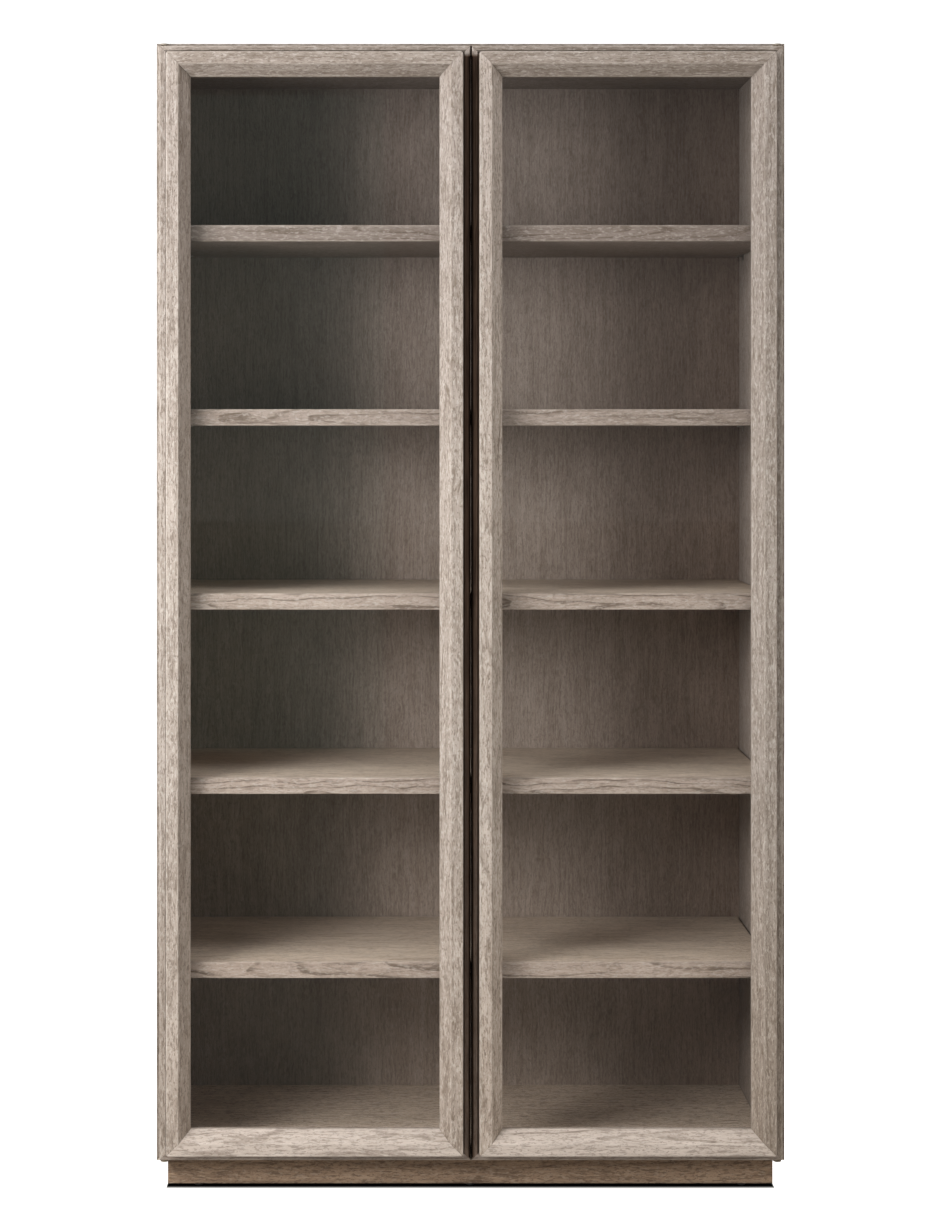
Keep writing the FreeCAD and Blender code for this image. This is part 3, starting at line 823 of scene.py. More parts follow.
@dataclass(frozen=True)
class FramePlace:
    """Place of one board in a mitred frame of four.

    across is the axis on which the board lies at the frame's lower side (-1) or
    higher side (1), and along is the axis that it runs along.
    """

    across: int
    side: int
    along: int

    def mitres(self, low: Vector, high: Vector) -> list[Plane]:
        """Cutting planes of the board's two ends.

        Args:
            low: the whole frame's lowest corner.
            high: the whole frame's highest corner.

        Returns:
            One plane for each end.
        """
        planes = []
        for end, corner in ((-1, low), (1, high)):
            place, away = [0.0, 0.0, 0.0], [0, 0, 0]
            place[self.across] = (high if self.side > 0 else low)[self.across]
            place[self.along] = corner[self.along]
            away[self.across], away[self.along] = -self.side, end
            planes.append(Plane(tuple(place), tuple(away)))
        return planes


def cut_away(piece: bpy.types.Object, cutters: Sequence[bpy.types.Object]) -> None:
    """Subtract cutters from a piece with a Boolean modifier, and delete them.

    Args:
        piece: the object to cut.
        cutters: closed objects, which may overlap the piece's surface.
    """
    make_active(cutters[0])
    for cutter in cutters:
        cutter.select_set(True)
    if len(cutters) > 1:
        bpy.ops.object.join()
    joined = bpy.context.active_object
    make_active(piece)
    modifier = piece.modifiers.new("joinery", "BOOLEAN")
    modifier.operation = "DIFFERENCE"
    modifier.object = joined
    modifier.solver = "EXACT"
    bpy.ops.object.modifier_apply(modifier=modifier.name)
    bpy.data.objects.remove(joined)


def copies_of(piece: bpy.types.Object, shifts: Sequence[Point]) -> list[bpy.types.Object]:
    """Copy a piece to new places, each copy with its own mesh.

    Args:
        piece: the object to copy, with its place in its mesh.
        shifts: how far each copy moves.

    Returns:
        The copies.
    """
    made = []
    for shift in shifts:
        copy = piece.copy()
        copy.data = piece.data.copy()
        bpy.context.collection.objects.link(copy)
        make_active(copy)
        copy.location = shift
        bpy.ops.object.transform_apply(location=True, rotation=False, scale=False)
        made.append(copy)
    return made


@dataclass
class Carcass:
    """Outer box of the bookcase: two sides, top and bottom, mitred together.

    The recess_... and bracket_... sizes let in the pivot brackets, groove_... lets
    in the back panel, and hole_... and pin_... bore the shelf pin holes.
    """

    body: str = "carcass"
    easing: float = 1.6 * MM
    recess_clearance: float = 0.15 * MM
    wall: float = 25 * MM
    bracket_length: float = 16 * MM
    recess_lead: float = 5 * MM
    groove_overlap: float = 1 * MM
    groove_slack: float = 0.1 * MM
    hole_point: float = 0.8 * MM
    hole_radius: float = 2.55 * MM
    hole_depth: float = 10 * MM
    hole_pitch: float = 32 * MM
    holes_each_way: int = 1
    shelf_count: int = 5
    pin_rows: tuple[float, float] = (-131.5 * MM, 155.5 * MM)
    pin_drop: float = 7 * MM
    panels: dict[str, FramePlace] = field(default_factory=lambda: {
        "side_panel_left": FramePlace(across=0, side=-1, along=2),
        "side_panel_right": FramePlace(across=0, side=1, along=2),
        "top_panel": FramePlace(across=2, side=1, along=0),
        "bottom_panel": FramePlace(across=2, side=-1, along=0),
    })

    def pin_hole_cutters(self, side: int) -> list[bpy.types.Object]:
        """Cylinders that bore the shelf pin holes of one side panel.

        Args:
            side: -1 for the left panel and 1 for the right one.

        Returns:
            One cutter for each hole.
        """
        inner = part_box("top_panel")[1].x - self.wall
        deselect_everything()
        bpy.ops.mesh.primitive_cylinder_add(
            vertices=24, radius=self.hole_radius, depth=2 * self.hole_depth,
            location=(side * inner, 0, 0), rotation=(0, math.pi / 2, 0))
        first = bpy.context.active_object
        bpy.ops.object.transform_apply(location=True, rotation=True, scale=True)
        with editing(first):
            select_where("faces", lambda face: face.normal.x * side > 0.9)
            bpy.ops.mesh.inset(thickness=self.hole_radius * 0.4, depth=0)
            bpy.ops.transform.translate(value=(side * self.hole_point, 0, 0))
        shifts = [
            (0, row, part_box(f"shelf_{number}")[0].z - self.pin_drop + step * self.hole_pitch)
            for number in range(1, self.shelf_count + 1)
            for row in self.pin_rows
            for step in range(-self.holes_each_way, self.holes_each_way + 1)
        ]
        holes = copies_of(first, shifts)
        bpy.data.objects.remove(first)
        return holes

    def joinery_cutters(self) -> list[bpy.types.Object]:
        """Blocks that let in the pivot brackets and the back panel."""
        cutters = []
        gap = self.recess_clearance
        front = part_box("side_panel_right")[0].y
        for level in ("top", "bottom"):
            low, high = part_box(f"{level}_pivot_brackets")
            for side in (-1, 1):
                inner, outer = sorted((side * (high.x - self.bracket_length - gap),
                                       side * (high.x + gap)))
                cutters.append(block_between(
                    "bracket_recess", (inner, front - self.recess_lead, low.z - gap),
                    (outer, high.y + gap, high.z + gap)))
        low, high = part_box("back_panel")
        over, slack = self.groove_overlap, self.groove_slack
        cutters.append(block_between(
            "back_groove", (low.x - over, low.y - slack, low.z - over),
            (high.x + over, high.y + slack, high.z + over)))
        return cutters

    def build(self, finishes: dict[str, LimedOak]) -> None:
        """Model, cut and dress the four panels.

        Args:
            finishes: the finish of each panel, by node name.
        """
        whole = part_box("side_panel_left")[0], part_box("side_panel_right")[1]
        for node, place in self.panels.items():
            low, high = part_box(node)
            board = EasedBoard(node + "_board", tuple(low), tuple(high),
                               place.mitres(*whole), self.easing)
            piece = board.build()
            cut_away(piece, self.joinery_cutters())
            if node.startswith("side"):
                cut_away(piece, self.pin_hole_cutters(1 if node.endswith("right") else -1))
            mark_wear_and_shade(piece, board.mitres, board.joint_depth, board.wears)
            finish_piece(piece, self.body, [node], finishes[node].material())


@dataclass
class Shelves:
    """Full-width shelves that rest on pins."""

    body: str = "carcass"
    count: int = 5
    easing: float = 1.8 * MM
    # A paler, brighter copy of the oak for the shelves' upper faces: painted light from above.
    veneer_gain: float = 1.38
    veneer_pale: Colour = (0.502, 0.431, 0.354)
    veneer_deep: Colour = (0.32, 0.26, 0.20)

    def veneer_top(self, piece: bpy.types.Object, edging: LimedOak) -> None:
        """Paint a shelf's broad upper face paler, as painted light from above.

        Args:
            piece: the finished shelf.
            edging: the finish of the rest of it.
        """
        lit_top = replace(edging, name=edging.name + "_veneer", ring_lines=0.2,
                         tone=edging.tone * self.veneer_gain, pale=self.veneer_pale,
                         deep=self.veneer_deep)
        piece.data.materials.append(lit_top.material())
        for face in piece.data.polygons:
            if face.normal.z > 0.99:
                face.material_index = 1

    def build(self, finishes: dict[str, LimedOak]) -> None:
        """Model and dress every shelf.

        Args:
            finishes: the finish of each shelf, by node name.
        """
        for number in range(1, self.count + 1):
            node = f"shelf_{number}"
            low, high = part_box(node)
            board = EasedBoard(node + "_board", tuple(low), tuple(high), (), self.easing)
            piece = board.build()
            mark_wear_and_shade(piece, wears=board.wears)
            finish_piece(piece, self.body, [node], finishes[node].material())
            # The upper face is painted paler, as light from above.
            self.veneer_top(piece, finishes[node])


@dataclass
class Plinth:
    """Recessed base: four boards mitred at the corners."""

    body: str = "carcass"
    easing: float = 1.2 * MM
    boards: dict[str, FramePlace] = field(default_factory=lambda: {
        "plinth_front": FramePlace(across=1, side=-1, along=0),
        "plinth_back": FramePlace(across=1, side=1, along=0),
        "plinth_side_left": FramePlace(across=0, side=-1, along=1),
        "plinth_side_right": FramePlace(across=0, side=1, along=1),
    })

    def build(self, finishes: dict[str, LimedOak]) -> None:
        """Model and dress the four boards.

        Args:
            finishes: the finish of each board, by node name.
        """
        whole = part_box("plinth_front")[0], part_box("plinth_back")[1]
        for node, place in self.boards.items():
            low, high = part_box(node)
            board = EasedBoard(node + "_board", tuple(low), tuple(high),
                               place.mitres(*whole), self.easing)
            piece = board.build()
            mark_wear_and_shade(piece, board.mitres, board.joint_depth, board.wears)
            finish_piece(piece, self.body, [node], finishes[node].material())


# ---------------------------------------------------------------------------
# Doors
# ---------------------------------------------------------------------------


@dataclass(frozen=True)
class MouldingStainAndShade:
    """Dark staining and painted shade on a length of moulding.

    depth is its strength outside the raised band, and edge how many times darker
    the narrow edge is, painted black as the shade in the gap between the doors.
    head and foot say how far from the upper and the lower end it starts, and where
    it is full. fade says how much it deepens towards the upper end, as painted
    shade. bevel is the strength of the brown painted shade on the sloping inner side.
    """

    depth: float = 0.0
    edge: float = 1.0
    fade: float = 0.0
    bevel: float = 0.0
    head: tuple[float, float] = (15 * MM, 22 * MM)
    foot: tuple[float, float] = (2 * MM, 6 * MM)


@dataclass
class FrameMoulding:
    """Section of the door frame, and how one length of it is worked.

    It is worked upright with its outer edge on the YZ plane: X runs inwards
    across the frame, and Y from the face to the back. The quirk is the fine groove
    beside the raised band. Painted shade, with some dark wax, lies up to
    shade_and_wax_reach from the band and fades over the brink. Staining and painted
    shade end stain_and_shade_past_band inwards of the flange, and the edge painted
    black as shade ends black_behind back from the flange's face. At a mitre,
    joint_line is the width of the dark line, and corner_pulls say how far the
    band's outer corner is drawn in at it and beside it.
    """

    thickness: float = 45 * MM
    flange_width: float = 15 * MM
    flange_depth: float = 25 * MM
    raised_width: float = 24 * MM
    bevel_width: float = 21 * MM
    lip_thickness: float = 6 * MM
    rabbet_width: float = 10 * MM
    quirk_width: float = 3.0 * MM
    quirk_depth: float = 2.4 * MM
    back_round: float = 5.5 * MM
    flange_round: float = 2.0 * MM
    raised_round: float = 2.2 * MM
    inner_round: float = 0.9 * MM
    lip_round: float = 0.8 * MM
    margin: float = 3.2 * MM
    brink: float = 0.7 * MM
    joint_line: float = 0.8 * MM
    corner_softening: float = 3.4 * MM
    joint_depth: float = 0.55
    # Painted shade, with some dark wax, beside the raised band.
    shade_and_wax_reach: float = 3.0 * MM
    shade_and_wax_depth: float = 0.6
    slack: float = 0.5 * MM
    stain_and_shade_past_band: float = 2 * MM
    black_behind: float = 6 * MM
    corner_pulls: tuple[float, float] = (1.7 * MM, 1.0 * MM)

    @property
    def raised_end(self) -> float:
        """Where the raised band ends and the bevel begins."""
        return self.flange_width + self.raised_width

    @property
    def width(self) -> float:
        """Width of the whole section."""
        return self.raised_end + self.bevel_width

    def mitres(self, length: float) -> list[Plane]:
        """Cutting planes of both ends of an upright length."""
        return [Plane((0, 0, side * length / 2), (1, 0, side)) for side in (-1, 1)]

    def stain_and_shade_share(self, point: Vector, length: float, stain: MouldingStainAndShade, up: int) -> float:
        """How dark a point is painted, as staining and painted shade.

        Args:
            point: a point of the upright length.
            length: the length over the points of its mitres.
            stain: the strength and extent of the staining and painted shade.
            up: 1 if the length's upper end lies at +Z, and -1 if at -Z.

        Returns:
            0 where the wood is bare, 1 where the staining and painted shade are full,
            and more on the edge painted black as shade.
        """
        # Brown painted shade on the sloping inner side.
        if (point.x > self.raised_end + self.slack
                and point.y < self.flange_depth + self.slack):
            return stain.bevel
        if (point.x > self.flange_width + self.stain_and_shade_past_band
                or point.y < self.raised_round + 0.9 * self.margin):
            return 0.0
        start, full = stain.head if point.z * up > 0 else stain.foot
        share = (length / 2 - abs(point.z) - start) / (full - start)
        share = min(max(share, 0.0), 1.0)
        # The narrow edge at the gap between the doors is painted black as shade.
        if (stain.edge > 1 and point.x < self.flange_round * (0.65 + 0.4 * share)
                and point.y < self.flange_depth + self.black_behind):
            return stain.depth * stain.edge
        # Full away from the ends, and deeper towards the upper end as painted shade.
        return stain.depth * share * (1 + stain.fade * point.z * up / (length / 2))

    def shade_and_wax_share(self, point: Vector) -> float:
        """How much painted shade and dark wax lie at a point beside the raised band."""
        start = self.flange_width - self.shade_and_wax_reach - IN_PLANE
        beside = (start < point.x < self.flange_width + IN_PLANE
                  and point.y > self.flange_depth - self.slack)
        return self.shade_and_wax_depth if beside else 0.0

    def build(self, name: str, length: float, stain: MouldingStainAndShade, up: int) -> bpy.types.Object:
        """Work one length of moulding from a plain batten.

        Args:
            name: the new object's name.
            length: its length over the points of its mitres.
            stain: the staining and painted shade outside its raised band.
            up: 1 if its upper end lies at +Z, and -1 if at -Z.

        Returns:
            The object, upright, with its wear and painted shade marked.
        """
        rabbet_start = self.width - self.rabbet_width
        piece = block_between(name, (0, self.flange_depth, -length / 2),
                              (rabbet_start, self.thickness, length / 2))
        with editing(piece):
            self.draw_lip(rabbet_start)
            self.raise_band()
            self.sink_quirk()
            self.round_corners()
            self.add_margins()
            for mitre in self.mitres(length):
                slice_open_mesh(mitre.place, mitre.away, trim=True)
                for depth in (self.joint_line, self.corner_softening):
                    inside = mitre.lowered(depth)
                    slice_open_mesh(inside.place, inside.away)
            for side, starts in ((up, stain.head), (-up, stain.foot)):
                for start in starts if stain.depth else ():
                    slice_open_mesh((0, 0, side * (length / 2 - start)), (0, 0, 1))
            self.soften_raised_corners(length)
        mark_wear_and_shade(piece, self.mitres(length), self.joint_depth,
                  stain_and_shade_at=lambda point: self.stain_and_shade_share(point, length, stain, up),
                  shade_and_wax_at=self.shade_and_wax_share)
        return piece

    def draw_lip(self, rabbet_start: float) -> None:
        """Pull the glazing lip out of the batten's inner side."""
        lip_back = self.flange_depth + self.lip_thickness
        slice_open_mesh((0, lip_back, 0), (0, 1, 0))
        select_where("faces", lambda face: near(middle_of(face).x, rabbet_start)
                     and middle_of(face).y < lip_back)
        extrude_selected((self.rabbet_width, 0, 0))
        select_where("edges", lambda edge: middle_of(edge).y < lip_back - 0.1 * MM and all(
            near(vertex.co.x, rabbet_start) for vertex in edge.verts))
        bpy.ops.mesh.dissolve_edges(use_verts=True)

    def raise_band(self) -> None:
        """Raise the band in front of the flange and slope its inner side back."""
        for across in (self.flange_width, self.raised_end):
            slice_open_mesh((across, 0, 0), (1, 0, 0))
        select_where("faces", lambda face: near(middle_of(face).y, self.flange_depth)
                     and middle_of(face).x > self.flange_width)
        extrude_selected((0, -self.flange_depth, 0))
        select_where("verts", lambda vertex: near(vertex.co.y, 0)
                     and vertex.co.x > self.raised_end + 0.1 * MM)
        bpy.ops.transform.translate(value=(0, self.flange_depth, 0))
        bpy.ops.mesh.select_all(action="SELECT")
        bpy.ops.mesh.remove_doubles(threshold=0.01 * MM)
        bpy.ops.mesh.dissolve_degenerate(threshold=0.01 * MM)

    def sink_quirk(self) -> None:
        """Sink a fine groove into the flange beside the raised band."""
        near_side = self.flange_width - self.quirk_width
        floor = self.flange_width - 0.45 * self.quirk_width
        for across in (near_side, floor):
            slice_open_mesh((across, 0, 0), (1, 0, 0))
        select_where("verts", lambda vertex: near(vertex.co.x, floor)
                     and near(vertex.co.y, self.flange_depth))
        bpy.ops.transform.translate(value=(0, self.quirk_depth, 0))

    def round_corners(self) -> None:
        """Round the long arrises, each to its own radius."""
        corners = (
            (0, self.thickness, self.back_round, 6),
            (0, self.flange_depth, self.flange_round, 4),
            (self.flange_width, 0, self.raised_round, 4),
            (self.raised_end, 0, self.inner_round, 3),
            (self.width, self.flange_depth, self.lip_round, 3),
        )
        for across, depth, radius, segments in corners:
            select_where("edges", lambda edge: all(
                near(vertex.co.x, across) and near(vertex.co.y, depth)
                for vertex in edge.verts))
            round_selected(radius, segments)

    def add_margins(self) -> None:
        """Slice the broad faces beside their arrises, so that wear stays narrow."""
        for across in (self.flange_round + self.margin,
                       self.flange_width - self.quirk_width - self.margin,
                       self.flange_width - self.shade_and_wax_reach,
                       self.flange_width - self.shade_and_wax_reach - self.brink,
                       self.flange_width + self.raised_round + self.margin,
                       self.raised_end - self.inner_round - self.margin,
                       self.raised_end + self.inner_round + self.margin,
                       self.width - self.lip_round - self.margin):
            slice_open_mesh((across, 0, 0), (1, 0, 0))
        for depth in (self.raised_round + self.margin, self.flange_depth - self.margin,
                      self.flange_depth + self.flange_round + self.margin,
                      self.thickness - self.back_round - self.margin):
            slice_open_mesh((0, depth, 0), (0, 1, 0))

    def soften_raised_corners(self, length: float) -> None:
        """Draw the raised band's outer corner in at both mitres."""
        outermost = self.flange_width + self.raised_round + 0.1 * MM
        for mitre in self.mitres(length):
            for depth, pull in zip((0.0, self.joint_line), self.corner_pulls):
                plane = mitre.lowered(depth)
                select_where("verts", lambda vertex: (
                    plane.holds(vertex.co)
                    and self.flange_width - IN_PLANE < vertex.co.x < outermost
                    and vertex.co.y < self.flange_depth - 0.1 * MM))
                level = 1 if mitre.place[2] > 0 else -1
                bpy.ops.transform.translate(value=(pull, 0, -level * pull))


@dataclass
class GlazedDoor:
    """One hinged door: a mitred frame round a pane, with its finish."""

    hand: Hand
    moulding: FrameMoulding = field(default_factory=FrameMoulding)
    # The finger channel is stained dark, with painted shade that deepens upwards and an edge
    # painted black as shade; the bottom rail's flange gets painted shade; the hinge stiles get
    # none unless a door sets it.
    channel_stain_and_shade: MouldingStainAndShade = MouldingStainAndShade(0.98, 1.55, fade=0.22)
    foot_shade: MouldingStainAndShade = MouldingStainAndShade(0.5, head=(0.5 * MM, 3 * MM),
                                              foot=(0.5 * MM, 3 * MM))
    hinge_shade: MouldingStainAndShade = MouldingStainAndShade()
    # Wider painted shade with dark wax beside the top rails' raised band.
    top_shade_and_wax_reach: float = 6.2 * MM

    @property
    def body(self) -> str:
        """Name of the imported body, which starts its nodes' names too."""
        return self.hand.value

    def outline(self) -> tuple[Vector, Vector]:
        """Lowest and highest corners of the whole frame."""
        boxes = [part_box(f"{self.body}_{part}") for part in
                 ("hinge_stile", "meeting_stile", "top_rail", "bottom_rail")]
        low = Vector(min(box[0][axis] for box in boxes) for axis in range(3))
        high = Vector(max(box[1][axis] for box in boxes) for axis in range(3))
        return low, high

    def node_at(self, edge: Edge) -> str:
        """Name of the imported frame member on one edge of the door."""
        hinge_edge = Edge.LEFT if self.hand is Hand.LEFT else Edge.RIGHT
        part = {Edge.TOP: "top_rail", Edge.BOTTOM: "bottom_rail"}.get(
            edge, "hinge_stile" if edge is hinge_edge else "meeting_stile")
        return f"{self.body}_{part}"

    def place_member(self, piece: bpy.types.Object, edge: Edge) -> None:
        """Turn an upright length onto its edge of the door.

        Args:
            piece: the worked length.
            edge: where it goes.
        """
        low, high = self.outline()
        middle = (low + high) / 2
        corner = {
            Edge.LEFT: (low.x, low.y, middle.z), Edge.RIGHT: (high.x, low.y, middle.z),
            Edge.TOP: (middle.x, low.y, high.z), Edge.BOTTOM: (middle.x, low.y, low.z),
        }[edge]
        make_active(piece)
        piece.rotation_euler = (0, math.radians(edge.value), 0)
        piece.location = corner
        bpy.ops.object.transform_apply(location=True, rotation=True, scale=True)

    def build(self, finishes: dict[str, LimedOak]) -> None:
        """Work, place and dress the four frame members.

        Args:
            finishes: the finish of each member, by node name.
        """
        low, high = self.outline()
        for edge in Edge:
            upright = edge in (Edge.LEFT, Edge.RIGHT)
            length = high.z - low.z if upright else high.x - low.x
            node = self.node_at(edge)
            # Staining and painted shade of each member.
            stain = {
                "meeting_stile": self.channel_stain_and_shade, "bottom_rail": self.foot_shade,
                "hinge_stile": self.hinge_shade,
            }.get(node.removeprefix(self.body + "_"), MouldingStainAndShade())
            moulding = self.moulding
            if edge is Edge.TOP:
                moulding = replace(moulding, shade_and_wax_reach=self.top_shade_and_wax_reach)
            up = -1 if edge is Edge.RIGHT else 1
            piece = moulding.build(node + "_moulding", length, stain, up)
            self.place_member(piece, edge)
            finish_piece(piece, self.body, [node], finishes[node].material())


# ---------------------------------------------------------------------------
# Finishes
# ---------------------------------------------------------------------------


# Steps of the golden ratio, which spread the boards' shares evenly
GOLDEN_STEP = 0.6180339887
# How far behind its face, and how far off its middle, a board's rings are centred
HEART_DEPTH = 16 * MM
HEART_DEPTH_SPREAD = 20 * MM
HEART_OFFSET = 34 * MM


def share_of(number: int, turn: int = 1) -> float:
    """A share from 0 to 1 for one board, never twice the same."""
    return (number * GOLDEN_STEP * turn) % 1


def heart_of(number: int) -> Point:
    """Centre of the growth rings of stock that has no board of its own."""
    return (0.03 + 0.09 * share_of(number), 0.02 + 0.08 * share_of(number, 2),
            3.7 * share_of(number, 3))


def heart_beside(node: str, grain: Grain, number: int) -> Point:
    """Centre of the growth rings of one board, close behind its face.

    Args:
        node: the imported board's name.
        grain: the direction of its fibres.
        number: the board's number, which sets where along it the figure peaks.

    Returns:
        The point that the rings of the board go round.
    """
    low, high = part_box(node)
    heart = [(a + b) / 2 for a, b in zip(low, high)]
    for axis in range(3):
        if axis == grain.value:
            heart[axis] = low[axis] + (high[axis] - low[axis]) * share_of(number)
        elif axis == Grain.DEEP.value:
            heart[axis] = low.y + HEART_DEPTH + HEART_DEPTH_SPREAD * share_of(number, 3)
        else:
            heart[axis] += HEART_OFFSET * (share_of(number, 2) - 0.5)
    return tuple(heart)


@dataclass
class OakStock:
    """The boards the bookcase is made of, with the tone of each, which also carries painted light
    and shade.

    The tones are listed by the direction of the grain. Beside each board's own
    tone they carry painted light and shade: the right hinge stile, the top rails and
    the higher shelves are darker, and the bottom rails and the bottom panel paler.
    What sets a group of boards apart from the rest of the oak is in its figure, its
    staining and its painted light and shade.
    """

    # Tones of upright boards; the right hinge stile is darker as painted shade.
    upright_tones_and_light: dict[str, float] = field(default_factory=lambda: {
        "left_door_hinge_stile": 0.94,
        "left_door_meeting_stile": 0.88,
        "right_door_meeting_stile": 1.0,
        "right_door_hinge_stile": 0.76,
        "side_panel_left": 0.88,
        "side_panel_right": 0.88,
        "back_panel": 0.88,
    })
    # Tones of level boards, darker high up and paler low down as painted light and shade.
    level_tones_and_light: dict[str, float] = field(default_factory=lambda: {
        "left_door_top_rail": 0.77,
        "left_door_bottom_rail": 1.19,
        "right_door_top_rail": 0.73,
        "right_door_bottom_rail": 1.18,
        "top_panel": 0.78,
        "bottom_panel": 1.4,
        "plinth_front": 0.96,
        "plinth_back": 0.96,
        "shelf_1": 1.06,
        "shelf_2": 1.08,
        "shelf_3": 1.03,
        "shelf_4": 0.87,
        "shelf_5": 0.66,
    })
    deep_tones: dict[str, float] = field(default_factory=lambda: {
        "plinth_side_left": 0.96,
        "plinth_side_right": 0.96,
    })
    shelf_figure: dict[str, object] = field(default_factory=lambda: {
        "ring_spacing": 0.0065, "rings": 0.3, "ring_lines": 0.8, "taper": 0.05,
        "pores": 0.42, "pale": (0.51, 0.43, 0.372), "deep": (0.325, 0.26, 0.21),
    })
    # The bottom panel takes the shelves' paler upper-face colours: painted light from above.
    bottom_lit_figure: dict[str, object] = field(default_factory=lambda: {
        "pale": (0.502, 0.431, 0.354), "deep": (0.32, 0.26, 0.20), "ring_lines": 0.2,
    })
    # The back panel: its own colour, with a painted pool of light in the middle, painted shade at
    # both sides and a greenish painted reflection at the left.
    back_figure_and_light: dict[str, object] = field(default_factory=lambda: {
        "pale": (0.50, 0.418, 0.36), "deep": (0.315, 0.252, 0.207),
        "rings": 0.1, "ring_lines": 0.12, "pores": 0.4, "lime": 0.2,
        "leaf_tints": (
            (-0.58, (0.74, 0.78, 0.74)), (-0.31, (0.60, 0.64, 0.62)), (-0.12, (0.92, 0.92, 0.92)),
            (0.08, (0.96, 0.98, 0.98)), (0.30, (0.79, 0.78, 0.77)), (0.56, (0.68, 0.63, 0.60)),
        ),
    })
    # The meeting stiles: little sheen, and colours for the finger channel's staining and painted
    # shade.
    meeting_figure_and_shade: dict[str, object] = field(default_factory=lambda: {
        "sheen": 0.02, "stain": (0.15, 0.096, 0.068), "dark_stain": (0.054, 0.034, 0.025),
    })
    # The bottom rails: a plainer figure, and almost no painted light towards the floor.
    foot_rail_figure: dict[str, object] = field(default_factory=lambda: {
        "pores": 0.5, "streaks": 0.5, "blotches": 0.18, "lime": 0.3, "ring_lines": 0.45,
        "warm_below": (1.0, 0.99, 0.985),
    })
    top_rail_figure: dict[str, object] = field(default_factory=lambda: {
        "pale": (0.50, 0.43, 0.372), "deep": (0.315, 0.257, 0.209),
    })
    # The right hinge stile: painted shade above and a darker, warmer painted shade below.
    right_hinge_shade: dict[str, object] = field(default_factory=lambda: {
        "grey_above": (0.88, 0.875, 0.885), "warm_below": (0.93, 0.885, 0.83),
    })
    # The side panels: no painted shade above, and painted shade darker towards the floor.
    side_shade: dict[str, object] = field(default_factory=lambda: {
        "grey_above": (1.0, 1.0, 1.0), "warm_below": (0.75, 0.72, 0.69),
    })
    # The plinth: stained brown, with painted shade under the carcass's overhang at its top.
    plinth_stain_and_shade: dict[str, object] = field(default_factory=lambda: {
        "pale": (0.47, 0.345, 0.245), "deep": (0.27, 0.185, 0.125),
        "pore": (0.12, 0.08, 0.055), "wax": (0.50, 0.42, 0.34),
        "grey_above": (0.51, 0.465, 0.42), "grey_heights": (0.012, 0.052),
    })

    def figure_of(self, node: str) -> dict[str, object]:
        """What sets a board's finish apart, with its painted light and shade, by its node's name.
        """
        figures = {
            "shelf_": self.shelf_figure, "plinth_": self.plinth_stain_and_shade,
            "bottom_panel": self.bottom_lit_figure,
            "back_panel": self.back_figure_and_light, "side_panel": self.side_shade,
            "meeting_stile": self.meeting_figure_and_shade, "bottom_rail": self.foot_rail_figure,
            "top_rail": self.top_rail_figure,
            "right_door_hinge_stile": self.right_hinge_shade,
        }
        return next((figure for part, figure in figures.items() if part in node), {})

    def finishes(self) -> dict[str, LimedOak]:
        """The finish of each board, by node name."""
        made: dict[str, LimedOak] = {}
        for grain, tones in ((Grain.UPRIGHT, self.upright_tones_and_light),
                             (Grain.ACROSS, self.level_tones_and_light),
                             (Grain.DEEP, self.deep_tones)):
            for node, tone in tones.items():
                heart = heart_beside(node, grain, len(made) + 1)
                oak = LimedOak(f"limed_oak_{node}", grain, heart, tone)
                made[node] = replace(oak, **self.figure_of(node))
        return made


